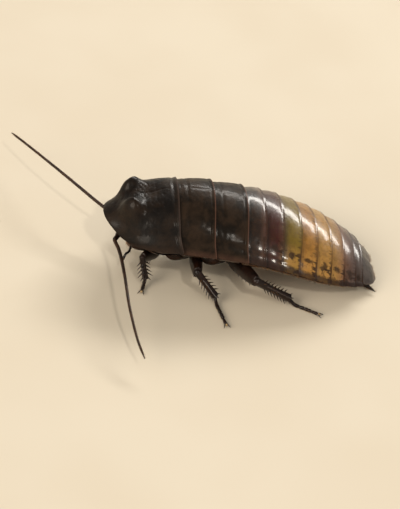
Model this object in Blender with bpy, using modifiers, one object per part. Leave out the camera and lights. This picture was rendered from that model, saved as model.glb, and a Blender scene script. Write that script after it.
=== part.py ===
"""A life-size adult male Madagascar hissing cockroach, standing still.

The head faces -Y, the animal's left side is +X and up is +Z. Shapes are worked out in
millimetres and scaled to metres once, when a finished node's mesh is stored.
"""

import math

import bmesh
import bpy
import numpy as np
from mathutils import Matrix, Vector

MM = 0.001

# Driving dimensions, in millimetres
BODY_LENGTH = 62.0
KEEL_HEIGHT = 9.6  # height of the body's side edge above the floor, at the waist
PLATE_THICK = 1.1
NODE_GAP = 0.3
PLATE_GAP = 0.45
EDGE_THICK = 0.5
PLATE_STEP = 0.5  # how far the rear edge of a plate stands over the next one
CORNER_BACK = 0.8  # how far a plate's hind corners reach back

# Where each back plate starts and ends along the body
PRONOTUM = (0.0, 15.5)
MESONOTUM = (PRONOTUM[1] + PLATE_GAP, 22.5)
METANOTUM = (MESONOTUM[1] + PLATE_GAP, 29.5)
ABDOMEN_START = METANOTUM[1] + PLATE_GAP
TERGITE_ENDS = (33.4, 37.2, 41.2, 45.2, 49.0, 52.6, 55.9, 58.0)
TAIL_START = TERGITE_ENDS[-1] + PLATE_GAP

# Profiles along the body: (distance from the front rim, value)
SLOPE_DEG = ((0, 10.5), (10, 9.5), (20, 1.0), (30, -4.0), (42, -15.0), (BODY_LENGTH, -20.0))
HALF_WIDTH = ((0, 8.0), (4, 10.0), (8, 11.1), (12, 11.8), (16, 11.95), (22.5, 12.4), (30, 12.9),
              (38, 13.3), (46, 13.1), (52, 11.8), (56, 10.1), (BODY_LENGTH, 6.6))
BACK_HEIGHT = ((0, 3.6), (4, 7.0), (9, 9.3), (15.5, 9.4), (22, 8.9), (30, 7.7), (40, 6.4),
               (48, 5.2), (54, 3.9), (59, 2.6), (BODY_LENGTH, 1.7))
BELLY_DEPTH = ((0, 0.6), (8, 2.6), (16, 3.4), (30, 3.7), (40, 3.6), (48, 3.0), (55, 1.9),
               (BODY_LENGTH, 0.8))

# Pronotum relief: (share of its length, share of its half-width, height, radius in mm, bluntness)
HORNS = ((0.36, 0.40, 2.3, 2.25, 2.9), (0.36, -0.40, 2.3, 2.25, 2.9))
DISC_HOLLOW = (0.62, 0.0, -1.1, 3.0, 2.0)
FRONT_BOW = 4.8  # how far the front corners of the pronotum lie behind its middle
RIM_RAISE = 0.7
RIM_WIDTH = 0.09  # as a share of the pronotum's half-width or length

# Faces round the plates and rings: across the back, across the belly
BACK_FACES = 18
BELLY_FACES = 12
RING_SHARES = (0.0, 0.55, 1.0)  # where along a ring its outlines stand

# Flanks and breast: how far their sides lie inside the plates' edge, and their outlines
BREAST_INSET = ((4.6, 7.6), (7.5, 4.2), (10.5, 2.2), (16, 1.7), (METANOTUM[1], 1.6))
BREAST_STATIONS = (5.6, 6.6, 8.0, 10.0, 12.5, 15.5, 19.0, 22.5, 26.0, METANOTUM[1])

# Last back plate: (station, half-width, rise, sag) of its outlines, and the notch in its edge
TAIL_RINGS = ((TAIL_START, 8.2, 2.6, 0.35), (60.2, 7.7, 2.1, 0.35), (61.9, 6.4, 1.5, 0.3),
              (63.0, 4.4, 0.8, 0.25))
TAIL_NOTCH = 0.7
CERCUS = ((58.4, 4.9, -1.0), (62.9, 8.0, -0.55))  # station, x, height

# Head
HEAD_HALF = Vector((3.9, 2.5, 4.3))
HEAD_SINK = 5.4  # how far the head's centre lies behind the front rim
HEAD_CENTRE_Z = 7.6
HEAD_TILT_DEG = 22.0
SOCKET = (1.7, -2.1, 0.5)  # where a feeler leaves the head, in the head's own frame

# Feelers: hand-set points from socket to tip, for the left and right one
WHIP_RADII = (0.42, 0.26)
WHIP_TIP_RADIUS = 0.12
WHIP_POINTS = 27
LEFT_FEELER = ((4.6, -27.3, 7.1), (9.0, -26.4, 7.3), (17.0, -25.8, 7.5), (26.0, -25.2, 6.8),
               (33.5, -23.8, 5.0), (38.0, -22.3, 3.6))
RIGHT_FEELER = ((-4.6, -27.3, 7.1), (-8.2, -31.6, 8.2), (-13.4, -36.4, 8.9), (-20.4, -41.8, 8.8),
                (-28.2, -46.6, 7.6), (-33.4, -49.2, 6.2))

# Legs: points from the body outwards as (x, y, z), down to the tip of the foot
LEGS = {
    "leg_fore_left": {"root": (5.9, -22.6, 7.4), "apex": (3.3, -18.2, 4.7), "hip": (3.0, -17.2, 3.8),
                      "knee": (8.3, -21.3, 5.9), "ankle": (10.0, -20.1, 1.5),
                      "toe": (12.9, -20.9, 0.42)},
    "leg_mid_left": {"root": (8.4, -15.0, 7.4), "apex": (3.8, -10.4, 4.7), "hip": (3.2, -9.0, 3.8),
                     "knee": (12.8, -9.7, 6.4), "ankle": (14.3, -5.2, 1.5),
                     "toe": (21.9, -3.4, 0.42)},
    "leg_hind_left": {"root": (9.2, -7.2, 7.6), "apex": (4.2, -2.6, 4.7), "hip": (3.6, -1.2, 3.9),
                      "knee": (14.6, 3.0, 6.6), "ankle": (13.4, 11.2, 1.6),
                      "toe": (16.6, 17.4, 0.42)},
    "leg_fore_right": {"root": (-5.9, -22.6, 7.4), "apex": (-3.3, -18.2, 4.7),
                       "hip": (-3.0, -17.2, 3.8), "knee": (-9.4, -19.4, 6.0),
                       "ankle": (-11.8, -22.4, 1.5), "toe": (-15.4, -25.8, 0.42)},
    "leg_mid_right": {"root": (-8.4, -15.0, 7.4), "apex": (-3.8, -10.4, 4.7),
                      "hip": (-3.2, -9.0, 3.8), "knee": (-13.2, -8.4, 6.4),
                      "ankle": (-17.4, -3.4, 1.5), "toe": (-24.2, -0.4, 0.42)},
    "leg_hind_right": {"root": (-9.2, -7.2, 7.6), "apex": (-4.2, -2.6, 4.7),
                       "hip": (-3.6, -1.2, 3.9), "knee": (-14.4, 4.0, 6.6),
                       "ankle": (-16.6, 12.4, 1.6), "toe": (-20.8, 18.8, 0.42)},
}
JOINTS = ("root", "apex", "hip", "knee", "ankle", "toe")
LEG_SIZES = {  # radii of coxa, femur and tibia, and the spines along one row of the tibia
    "fore": {"coxa": 1.8, "femur": 1.6, "tibia": 0.78, "spines": 3},
    "mid": {"coxa": 2.2, "femur": 2.0, "tibia": 0.88, "spines": 4},
    "hind": {"coxa": 2.4, "femur": 2.0, "tibia": 0.92, "spines": 5},
}
SPINE_LENGTH = 1.5
SPINE_RADIUS = 0.28
TARSUS_RADIUS = 0.5
FOOT_POINTS = 21
CLAW_LENGTH = 1.2

# Colours: linear base colour, roughness
BLACK_BROWN = ((0.020, 0.014, 0.011), 0.30)
MAHOGANY = ((0.045, 0.022, 0.014), 0.32)
AMBER = ((0.36, 0.17, 0.05), 0.35)
TAIL_BROWN = ((0.06, 0.035, 0.025), 0.35)
LEG_BROWN = ((0.055, 0.022, 0.012), 0.35)
FEELER_BROWN = ((0.05, 0.025, 0.015), 0.5)
EYE_BLACK = ((0.008, 0.007, 0.008), 0.15)


def clear_scene():
    for obj in list(bpy.data.objects):
        bpy.data.objects.remove(obj, do_unlink=True)
    for name in ("hissing_cockroach", "cutters"):
        group = bpy.data.collections.new(name)
        bpy.context.scene.collection.children.link(group)


def material(name, look):
    colour, roughness = look
    mat = bpy.data.materials.new(name)
    mat.use_nodes = True
    shader = mat.node_tree.nodes["Principled BSDF"]
    shader.inputs["Base Color"].default_value = (*colour, 1.0)
    shader.inputs["Roughness"].default_value = roughness
    shader.inputs["Metallic"].default_value = 0.0
    return mat


def along(knots, s):
    """Smooth value at s through (distance, value) knots, with no overshoot between them."""
    xs, ys = np.array(knots, float).T
    i = int(np.clip(np.searchsorted(xs, s) - 1, 0, len(xs) - 2))
    rates = np.diff(ys) / np.diff(xs)
    slopes = np.zeros(len(xs))
    same_way = rates[:-1] * rates[1:] > 0
    slopes[1:-1] = np.where(same_way, 2 * rates[:-1] * rates[1:] / (rates[:-1] + rates[1:] + 1e-12), 0)
    slopes[0], slopes[-1] = rates[0], rates[-1]
    step = xs[i + 1] - xs[i]
    u = (s - xs[i]) / step
    return ((1 + 2 * u) * (1 - u) ** 2 * ys[i] + u * (1 - u) ** 2 * step * slopes[i]
            + u * u * (3 - 2 * u) * ys[i + 1] - u * u * (1 - u) * step * slopes[i + 1])


def body_line():
    """The side edge's level line in the body's middle plane: station, y and z, waist at y = 0."""
    stations = np.linspace(-2, BODY_LENGTH + 4, 331)
    slope = np.radians([along(SLOPE_DEG, min(max(s, 0), BODY_LENGTH)) for s in stations])
    step = stations[1] - stations[0]
    y = np.cumsum(np.cos(slope)) * step
    z = np.cumsum(np.sin(slope)) * step
    waist = np.argmin(abs(stations - METANOTUM[1]))
    return stations, y - y[waist], z - z[waist] + KEEL_HEIGHT, slope


LINE = body_line()


def body_point(s, x, height):
    """The point x to the left of the middle plane and height above the body line at s."""
    stations, y, z, slope = LINE
    angle = np.interp(s, stations, slope)
    return Vector((x, np.interp(s, stations, y) - height * math.sin(angle),
                   np.interp(s, stations, z) + height * math.cos(angle)))


def dome(t, power=0.8):
    """Height share of a plate's arch at t, from -1 at its right edge to 1 at its left edge."""
    return max(0.0, 1 - t * t) ** power


def plate_station(span, f, t):
    """Station of a plate's point: its borders bend back near the body's side edge."""
    return span[0] + (span[1] - span[0]) * f + CORNER_BACK * abs(t) ** 8


def plate_top(span, f, t):
    """Point of a back plate's top: f runs from its front edge to its rear edge, t across."""
    s = plate_station(span, f, t)
    lift = PLATE_STEP * (f - 0.5)
    width = along(HALF_WIDTH, span[0] + (span[1] - span[0]) * f) + lift
    height = along(BACK_HEIGHT, span[0] + (span[1] - span[0]) * f) + lift
    return body_point(s, width * t, EDGE_THICK / 2 + height * dome(t))


def pronotum_top(f, t):
    """Point of the hood over the head, with its two horns, hollow disc and raised rims."""
    s = PRONOTUM[1] * f + FRONT_BOW * (1 - f) * abs(t) ** 2.2 + CORNER_BACK * f * abs(t) ** 8
    width = along(HALF_WIDTH, PRONOTUM[1] * f) + PLATE_STEP * (f - 0.5)
    height = along(BACK_HEIGHT, PRONOTUM[1] * f) * dome(t)
    for centre_f, centre_t, rise, radius, power in (*HORNS, DISC_HOLLOW):
        away = math.hypot((f - centre_f) * PRONOTUM[1], (t - centre_t) * width)
        height += rise * math.exp(-((away / radius) ** power))
    height += RIM_RAISE * math.exp(-(((1 - abs(t)) / RIM_WIDTH) ** 2))
    height += RIM_RAISE * math.exp(-((f / RIM_WIDTH) ** 2)) * dome(t)
    return body_point(s, width * t, EDGE_THICK / 2 + height)


def new_node(name, bm, mat, group="hissing_cockroach"):
    """Stores a bmesh in millimetres as a named object."""
    mesh = bpy.data.meshes.new(name)
    bm.to_mesh(mesh)
    bm.free()
    obj = bpy.data.objects.new(name, mesh)
    if mat:
        mesh.materials.append(mat)
    bpy.data.collections[group].objects.link(obj)
    return obj


def apply_modifiers(obj):
    bpy.context.view_layer.update()
    graph = bpy.context.evaluated_depsgraph_get()
    mesh = bpy.data.meshes.new_from_object(obj.evaluated_get(graph))
    old = obj.data
    obj.modifiers.clear()
    obj.data = mesh
    bpy.data.meshes.remove(old)
    return obj


def keep_largest(obj):
    """Keeps the node's largest closed surface and drops what a cut leaves loose."""
    bm = bmesh.new()
    bm.from_mesh(obj.data)
    bmesh.ops.triangulate(bm, faces=bm.faces)
    bmesh.ops.remove_doubles(bm, verts=bm.verts, dist=0.0005)
    bmesh.ops.dissolve_degenerate(bm, edges=bm.edges, dist=0.0005)
    unseen, islands = set(bm.faces), []
    while unseen:
        island, waiting = [], [unseen.pop()]
        while waiting:
            face = waiting.pop()
            island.append(face)
            for edge in face.edges:
                for other in edge.link_faces:
                    if other in unseen:
                        unseen.remove(other)
                        waiting.append(other)
        islands.append(island)
    islands.sort(key=lambda faces: sum(face.calc_area() for face in faces))
    for island in islands[:-1]:
        bmesh.ops.delete(bm, geom=island, context="FACES")
    bmesh.ops.delete(bm, geom=[v for v in bm.verts if not v.link_faces], context="VERTS")
    bm.to_mesh(obj.data)
    bm.free()
    return obj


def boolean(obj, operation, others):
    """Joins or cuts obj with others in one pass, then removes them."""
    tools = bpy.data.collections.new("tools")
    bpy.context.scene.collection.children.link(tools)
    for other in others:
        for group in list(other.users_collection):
            group.objects.unlink(other)
        tools.objects.link(other)
    step = obj.modifiers.new(operation.lower(), "BOOLEAN")
    step.operation, step.operand_type, step.solver = operation, "COLLECTION", "EXACT"
    step.collection = tools
    apply_modifiers(obj)
    for other in others:
        bpy.data.objects.remove(other, do_unlink=True)
    bpy.data.collections.remove(tools)
    return keep_largest(obj)


def swollen_copy(obj, gap):
    """A cutter: the neighbour's shape grown by the gap that the two nodes keep."""
    bm = bmesh.new()
    bm.from_mesh(obj.data)
    bm.normal_update()
    moves = [vert.normal * gap * min(vert.calc_shell_factor(), 1.6) for vert in bm.verts]
    for vert, move in zip(bm.verts, moves):
        vert.co += move
    cutter = new_node("cut_" + obj.name, bm, None, "cutters")
    cutter.hide_render = True
    cutter.display_type = "WIRE"
    return cutter


def cut_clear(obj, *neighbours, gap=NODE_GAP):
    return boolean(obj, "DIFFERENCE", [swollen_copy(other, gap) for other in neighbours])


def loft(rings):
    """A closed solid through rings of equally many points, with a fan over each end."""
    bm = bmesh.new()
    rows = [[bm.verts.new(point) for point in ring] for ring in rings]
    count = len(rows[0])
    for near, far in zip(rows, rows[1:]):
        for i in range(count):
            j = (i + 1) % count
            bm.faces.new((near[i], near[j], far[j], far[i]))
    for row, turn in ((rows[0], -1), (rows[-1], 1)):
        middle = bm.verts.new(sum((vert.co for vert in row), Vector()) / count)
        for i in range(count):
            pair = (row[i], row[(i + 1) % count])[::turn]
            bm.faces.new((*pair, middle))
    bmesh.ops.recalc_face_normals(bm, faces=bm.faces)
    return bm


def across(count):
    """Places from the right edge to the left one, closer together at the edges."""
    return [math.sin(math.pi * (i / count - 0.5)) for i in range(count + 1)]


def shell_plate(name, top, rows, columns, mat):
    """A back plate: a grid shaped by top(f, t) and thickened inwards."""
    bm = bmesh.new()
    bmesh.ops.create_grid(bm, x_segments=columns, y_segments=rows, size=1)
    for vert in bm.verts:
        vert.co = top((vert.co.y + 1) / 2, math.sin(math.pi / 2 * vert.co.x))
    bmesh.ops.recalc_face_normals(bm, faces=bm.faces)
    if sum(face.normal.z for face in bm.faces) < 0:
        bmesh.ops.reverse_faces(bm, faces=bm.faces)
    obj = new_node(name, bm, mat)
    wall = obj.modifiers.new("wall", "SOLIDIFY")
    wall.thickness, wall.offset, wall.use_even_offset = PLATE_THICK, -1, False
    return keep_largest(apply_modifiers(obj))


def abdomen(mat):
    """Eight rings of back plate and belly plate, each standing over the next at its rear."""
    rings = []
    starts = (ABDOMEN_START, *TERGITE_ENDS[:-1])
    for start, end in zip(starts, TERGITE_ENDS):
        for f in RING_SHARES:
            upper = [plate_top((start, end), f, t) for t in across(BACK_FACES)]
            s_mid = start + (end - start) * f
            lift = PLATE_STEP * (f - 0.5)
            half = along(HALF_WIDTH, s_mid) + lift
            depth = along(BELLY_DEPTH, s_mid) + lift
            lower = [body_point(plate_station((start, end), f, t) - 0.15 * (1 - abs(t)), half * t,
                                -EDGE_THICK / 2 - depth * dome(t, 0.6))
                     for t in across(BELLY_FACES)]
            rings.append(upper + lower[::-1])
    return keep_largest(new_node("abdomen", loft(rings), mat))


def thorax_core(mat):
    """The flanks and breast under the three front plates, with the neck at its front."""
    rings = []
    for s in BREAST_STATIONS:
        half = along(HALF_WIDTH, s) - along(BREAST_INSET, s)
        height = along(BACK_HEIGHT, s) - PLATE_THICK * 0.6
        depth = along(BELLY_DEPTH, s)
        upper = [body_point(s, half * t, height * dome(t, 0.6)) for t in across(12)]
        lower = [body_point(s, half * t * 0.99, -0.4 - depth * dome(t, 0.5)) for t in across(10)]
        rings.append(upper + lower[::-1])
    return new_node("thorax", loft(rings), mat)


def supra_anal_plate(mat):
    """The last back plate: a short tongue with a shallow notch in its rear edge."""
    rings = []
    for s, half, up, down in TAIL_RINGS:
        upper, lower = [], []
        for t in across(BELLY_FACES):
            notch = TAIL_NOTCH * (1 - t * t) * (s - TAIL_START) / (TAIL_RINGS[-1][0] - TAIL_START)
            upper.append(body_point(s - notch, half * t, 0.2 + up * dome(t)))
            lower.append(body_point(s - notch, half * t, -0.2 - down * dome(t)))
        rings.append(upper + lower[::-1])
    return new_node("supra_anal_plate", loft(rings), mat)


def turned(profile, sides):
    """A closed turned shape about Z from (height, radius) points that end on the axis."""
    bm = bmesh.new()
    verts = [bm.verts.new((radius, 0, height)) for height, radius in profile]
    edges = [bm.edges.new(pair) for pair in zip(verts, verts[1:])]
    bmesh.ops.spin(bm, geom=verts + edges, axis=(0, 0, 1), cent=(0, 0, 0), steps=sides,
                   angle=2 * math.pi, use_merge=True)
    bmesh.ops.remove_doubles(bm, verts=bm.verts, dist=1e-4)
    bmesh.ops.recalc_face_normals(bm, faces=bm.faces)
    return bm


def frame_along(start, end, side):
    """A matrix whose Z runs from start to end and whose X lies towards side."""
    z = (Vector(end) - Vector(start)).normalized()
    y = z.cross(Vector(side)).normalized()
    x = y.cross(z)
    matrix = Matrix((x, y, z)).transposed().to_4x4()
    matrix.translation = Vector(start)
    return matrix


def limb(name, start, end, profile, flat, side, mat, group="hissing_cockroach", sides=10):
    """A limb segment: turned about its own axis, then flattened across side."""
    length = (Vector(end) - Vector(start)).length
    bm = turned([(share * length, radius) for share, radius in profile], sides)
    bmesh.ops.scale(bm, vec=(1, flat, 1), verts=bm.verts)
    bm.transform(frame_along(start, end, side))
    return new_node(name, bm, mat, group)


def spine(start, end, radius):
    """A five-sided spine or claw with its root at start and its tip at end."""
    length = (Vector(end) - Vector(start)).length
    bm = bmesh.new()
    bmesh.ops.create_cone(bm, cap_ends=True, segments=5, radius1=radius, radius2=radius * 0.12,
                          depth=length)
    bmesh.ops.translate(bm, vec=(0, 0, length / 2), verts=bm.verts)
    bm.transform(frame_along(start, end, (0.3, 0.2, 0.9)))
    return new_node("spine", bm, None, "cutters")


def smooth_path(points, count):
    """Evenly spread points on a smooth curve through the given ones."""
    pts = np.array(points, float)
    ends = np.vstack([2 * pts[0] - pts[1], pts, 2 * pts[-1] - pts[-2]])
    dense = []
    for i in range(len(pts) - 1):
        a, b, c, d = ends[i:i + 4]
        for u in np.linspace(0, 1, 20, endpoint=False):
            dense.append(0.5 * (2 * b + (c - a) * u + (2 * a - 5 * b + 4 * c - d) * u ** 2
                                + (3 * b - a - 3 * c + d) * u ** 3))
    dense = np.array([*dense, pts[-1]])
    walked = np.r_[0, np.cumsum(np.linalg.norm(np.diff(dense, axis=0), axis=1))]
    spots = np.linspace(0, walked[-1], count)
    return [Vector([np.interp(spot, walked, dense[:, k]) for k in range(3)]) for spot in spots]


def tube(name, points, radii, mat, group="hissing_cockroach"):
    """A bevelled curve with its own radius at each point, made a closed mesh."""
    curve = bpy.data.curves.new(name, "CURVE")
    curve.dimensions, curve.bevel_depth, curve.bevel_resolution = "3D", 1.0, 2
    curve.use_fill_caps = True
    spline = curve.splines.new("POLY")
    spline.points.add(len(points) - 1)
    for dot, point, radius in zip(spline.points, points, radii):
        dot.co, dot.radius = (*point, 1), radius
    guide = bpy.data.objects.new(name + "_guide", curve)
    bpy.data.collections["cutters"].objects.link(guide)
    bpy.context.view_layer.update()
    graph = bpy.context.evaluated_depsgraph_get()
    mesh = bpy.data.meshes.new_from_object(guide.evaluated_get(graph))
    bm = bmesh.new()
    bm.from_mesh(mesh)
    bmesh.ops.remove_doubles(bm, verts=bm.verts, dist=1e-4)
    bmesh.ops.recalc_face_normals(bm, faces=bm.faces)
    bpy.data.meshes.remove(mesh)
    bpy.data.objects.remove(guide, do_unlink=True)
    return new_node(name, bm, mat, group)


def head_frame():
    centre = body_point(HEAD_SINK, 0, 0)
    centre.z = HEAD_CENTRE_Z
    return Matrix.Translation(centre) @ Matrix.Rotation(math.radians(HEAD_TILT_DEG), 4, "X")


def head_blob(name, centre, half, mat=None, group="cutters", rings=8, turn_deg=0.0):
    """An ellipsoid placed in the head's own frame, where -Y is the face."""
    bm = bmesh.new()
    bmesh.ops.create_uvsphere(bm, u_segments=rings + 4, v_segments=rings, radius=1)
    shape = (Matrix.Translation(centre) @ Matrix.Rotation(math.radians(turn_deg), 4, "Y")
             @ Matrix.Diagonal((*half, 1)))
    bm.transform(head_frame() @ shape)
    return new_node(name, bm, mat, group)


def head(mat):
    """The head capsule: widest at the eyes, narrow at the mouth, with lip and jaws."""
    bm = bmesh.new()
    bmesh.ops.create_uvsphere(bm, u_segments=20, v_segments=14, radius=1)
    for vert in bm.verts:
        x, y, z = vert.co
        narrow = 1 - 0.38 * max(0.0, -z) ** 1.3
        flat_face = 0.82 if y < 0 else 1.0
        vert.co = (x * HEAD_HALF.x * narrow, y * HEAD_HALF.y * flat_face * (1 - 0.25 * max(0.0, -z)),
                   z * HEAD_HALF.z)
    bm.transform(head_frame())
    skull = new_node("head", bm, mat)
    pieces = [head_blob("clypeus", (0, -1.1, -2.5), (1.7, 1.1, 1.4)),
              head_blob("labrum", (0, -0.9, -3.9), (1.3, 0.8, 1.1))]
    for way in (1, -1):
        pieces.append(head_blob("jaw", (1.5 * way, -0.3, -3.4), (0.9, 1.1, 1.4)))
        pieces.append(head_blob("socket", (SOCKET[0] * way, -1.9, SOCKET[2]), (0.8, 0.6, 0.8)))
        lip = [head_frame() @ Vector(p) for p in
               ((0.9 * way, 0.4, -3.8), (1.5 * way, -0.2, -4.9), (1.2 * way, -1.0, -5.0))]
        pieces.append(tube("lip_palp", smooth_path(lip, 5), (0.34, 0.32, 0.3, 0.3, 0.22), None, "cutters"))
    return boolean(skull, "UNION", pieces)


def eye(name, way, neighbours, mat):
    """A kidney-shaped eye laid along the side of the head, cut clear of what is round it."""
    ball = head_blob(name, (3.1 * way, -0.5, 1.7), (1.15, 1.3, 2.0), mat, "hissing_cockroach", 10,
                     14 * way)
    return cut_clear(ball, *neighbours)


def palp(name, way, skull, mat):
    """The long jaw feeler beside the mouth."""
    points = [head_frame() @ Vector(p) for p in
              ((2.0 * way, -0.2, -3.0), (3.5 * way, -0.9, -3.9), (4.9 * way, -1.7, -3.3),
               (5.6 * way, -2.5, -3.9), (5.7 * way, -3.1, -4.6))]
    piece = tube(name, smooth_path(points, 11),
                 (0.36, 0.34, 0.3, 0.38, 0.34, 0.3, 0.38, 0.36, 0.32, 0.36, 0.24), mat)
    return cut_clear(piece, skull)


def feeler(side, way, points, neighbours, mat):
    """A feeler: the thick base joint at the socket and the long tapering whip beyond it."""
    socket = head_frame() @ Vector((SOCKET[0] * way, SOCKET[1], SOCKET[2]))
    base_end = Vector(points[0])
    base = limb(f"antenna_{side}_base", socket, base_end,
                ((0, 0), (0.02, 0.5), (0.25, 0.68), (0.55, 0.52), (0.62, 0.44), (0.78, 0.55),
                 (0.97, 0.46), (1, 0)), 1.0, (0, 0, 1), mat, sides=9)
    cut_clear(base, *neighbours)
    path = smooth_path([base_end, *points[1:]], WHIP_POINTS)
    first = (path[1] - path[0]).normalized()
    path = [path[0] + first * NODE_GAP, *path[1:]]
    thick, thin = WHIP_RADII
    last = WHIP_POINTS - 1
    radii = [thick + (thin - thick) * (i / last) ** 0.8 for i in range(last)] + [WHIP_TIP_RADIUS]
    return base, cut_clear(tube(f"antenna_{side}_whip", path, radii, mat), base)


def tibia_spines(start, end, radius, per_row, out):
    """Spines in four rows along a shin, slanting towards the foot."""
    axis = (end - start).normalized()
    across_axis = axis.cross(out).normalized()
    spikes = []
    for row, turn in enumerate((35, 145, 215, 325)):
        angle = math.radians(turn)
        radial = (across_axis * math.cos(angle) + axis.cross(across_axis) * math.sin(angle)).normalized()
        for i in range(per_row):
            share = 0.30 + 0.62 * (i + 0.45 * (row % 2)) / per_row
            foot = start.lerp(end, share) + radial * radius * 0.35
            length = SPINE_LENGTH * (0.8 + 0.25 * share)
            tip = foot + (radial * 0.78 + axis * 0.62) * (length + radius * 0.65)
            if tip.z > 0.25:
                spikes.append(spine(foot, tip, SPINE_RADIUS))
    return spikes


def tarsus(name, ankle, toe, mat):
    """The five-jointed foot, flat where it stands, with two claws at its tip."""
    outward = Vector((toe.x - ankle.x, toe.y - ankle.y, 0)).normalized()
    heel = ankle + outward * 1.6
    heel.z = toe.z + 0.1
    path = smooth_path([ankle, heel, heel.lerp(toe, 0.5), toe], FOOT_POINTS)
    shares = [i / (FOOT_POINTS - 1) for i in range(FOOT_POINTS)]
    radii = [TARSUS_RADIUS * (0.8 + 0.32 * abs(math.sin(math.pi * 5 * u)) - 0.1 * u) for u in shares]
    foot = tube(name, path, radii, mat)
    claws = []
    aside = outward.cross(Vector((0, 0, 1)))
    for way in (1, -1):
        bend = toe + (outward * 0.75 + aside * way * 0.45) * CLAW_LENGTH + Vector((0, 0, 0.15))
        claws.append(spine(toe - outward * 0.3, bend, 0.3))
    boolean(foot, "UNION", claws)
    for vert in foot.data.vertices:
        vert.co.z = max(vert.co.z, 0.0)
    return foot


def leg(name, joints, neighbours, mats):
    """Hip, thigh, shin and foot, each cut clear of the one before it and of the neighbours."""
    size = LEG_SIZES[name.split("_")[1]]
    root, apex, hip, knee, ankle, toe = (Vector(joints[key]) for key in JOINTS)
    up = Vector((0, 0, 1))
    coxa = limb(name + "_coxa", root, apex,
                ((0, 0), (0.04, 0.62 * size["coxa"]), (0.3, size["coxa"]), (0.6, 0.92 * size["coxa"]),
                 (0.85, 0.6 * size["coxa"]), (0.97, 0.36 * size["coxa"]), (1, 0)),
                0.66, Vector((0, 1, 0)), mats["coxa"])
    cut_clear(coxa, *neighbours)
    femur = limb(name + "_femur", hip, knee,
                 ((0, 0), (0.03, 0.45 * size["femur"]), (0.14, 0.78 * size["femur"]), (0.36, size["femur"]),
                  (0.65, 0.85 * size["femur"]), (0.88, 0.62 * size["femur"]),
                  (0.97, 0.55 * size["femur"]), (1, 0.2), (1.005, 0)),
                 0.7, up, mats["femur"])
    thigh_axis = (knee - hip).normalized()
    under = (-up + thigh_axis * thigh_axis.z).normalized()
    trochanter = limb("trochanter", apex.lerp(hip, 0.5), hip + (knee - hip).normalized() * 1.6,
                      ((0, 0), (0.1, 0.5), (0.5, 0.62 * size["femur"]), (0.9, 0.5), (1, 0)),
                      0.8, up, None, "cutters", sides=8)
    teeth = [spine(hip.lerp(knee, share) + under * 0.3 * size["femur"],
                   hip.lerp(knee, share) + under * (0.8 * size["femur"] + 1.0) + thigh_axis * 0.7,
                   SPINE_RADIUS) for share in (0.45, 0.62, 0.79)]
    boolean(femur, "UNION", [trochanter, *teeth])
    cut_clear(femur, *neighbours, coxa)
    shin_axis = (ankle - knee).normalized()
    shin_start = knee + shin_axis * 0.1
    tibia = limb(name + "_tibia", shin_start - shin_axis * 0.5, ankle,
                 ((0, 0), (0.05, 0.75 * size["tibia"]), (0.16, 0.95 * size["tibia"]),
                  (0.6, 0.9 * size["tibia"]), (0.92, 1.05 * size["tibia"]), (1, 0)),
                 0.8, up, mats["tibia"])
    boolean(tibia, "UNION", tibia_spines(shin_start, ankle, size["tibia"], size["spines"], up))
    cut_clear(tibia, femur)
    foot = tarsus(name + "_tarsus", ankle, toe, mats["tarsus"])
    cut_clear(foot, tibia)
    return coxa, femur


def cercus(name, way, belly, plate, mat):
    """One of the two short, tapering tail feelers beside the last plate."""
    start, end = (body_point(s, x * way, height) for s, x, height in CERCUS)
    piece = limb(name, start, end,
                 ((0, 0), (0.03, 0.55), (0.3, 0.68), (0.55, 0.6), (0.8, 0.4), (1, 0)),
                 0.8, (0, 0, 1), mat, sides=9)
    return cut_clear(piece, belly, plate)


def stand_at_origin():
    """Puts the foot of the model's box at the origin and turns millimetres to metres."""
    origin = bpy.data.objects.new("cockroach_origin", None)
    bpy.data.collections["hissing_cockroach"].objects.link(origin)
    nodes = [obj for obj in bpy.data.collections["hissing_cockroach"].objects if obj.data]
    corners = np.array([vert.co for node in nodes for vert in node.data.vertices])
    low, high = corners.min(axis=0), corners.max(axis=0)
    shift = Matrix.Translation((-(low[0] + high[0]) / 2, -(low[1] + high[1]) / 2, -low[2]))
    for node in nodes:
        node.data.transform(Matrix.Scale(MM, 4) @ shift)
        node.data.shade_smooth()
        node.data.set_sharp_from_angle(angle=math.radians(40))
        node.parent = origin


def build():
    clear_scene()
    black, mahogany = material("black_brown", BLACK_BROWN), material("mahogany", MAHOGANY)
    amber, tail_brown = material("amber", AMBER), material("tail_brown", TAIL_BROWN)
    leg_brown, feeler_brown = material("leg_brown", LEG_BROWN), material("feeler_brown", FEELER_BROWN)
    eye_black = material("eye_black", EYE_BLACK)

    belly = abdomen(amber)
    last_plate = cut_clear(supra_anal_plate(tail_brown), belly)
    hood = shell_plate("pronotum", pronotum_top, 15, 22, black)
    shoulders = [shell_plate(name, lambda f, t, span=span: plate_top(span, f, t), 4, 20, mahogany)
                 for name, span in (("mesonotum", MESONOTUM), ("metanotum", METANOTUM))]
    chest = thorax_core(mahogany)
    cut_clear(chest, hood, *shoulders)
    skull = head(black)
    cut_clear(skull, hood, chest)
    for side, way, points in (("left", 1, LEFT_FEELER), ("right", -1, RIGHT_FEELER)):
        ball = eye(f"eye_{side}", way, (skull, hood, chest), eye_black)
        palp(f"palp_{side}", way, skull, leg_brown)
        feeler(side, way, points, (skull, ball), feeler_brown)
        cercus(f"cercus_{side}", way, belly, last_plate, tail_brown)
        neighbours = [chest, belly, skull]
        for place in ("fore", "mid", "hind"):
            name = f"leg_{place}_{side}"
            mats = {"coxa": mahogany, "femur": leg_brown, "tibia": leg_brown, "tarsus": feeler_brown}
            neighbours.extend(leg(name, LEGS[name], neighbours, mats))
    stand_at_origin()


build()
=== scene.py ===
import math
import random

import bmesh
import bpy
import numpy as np
from mathutils import Matrix, Vector, noise


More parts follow.
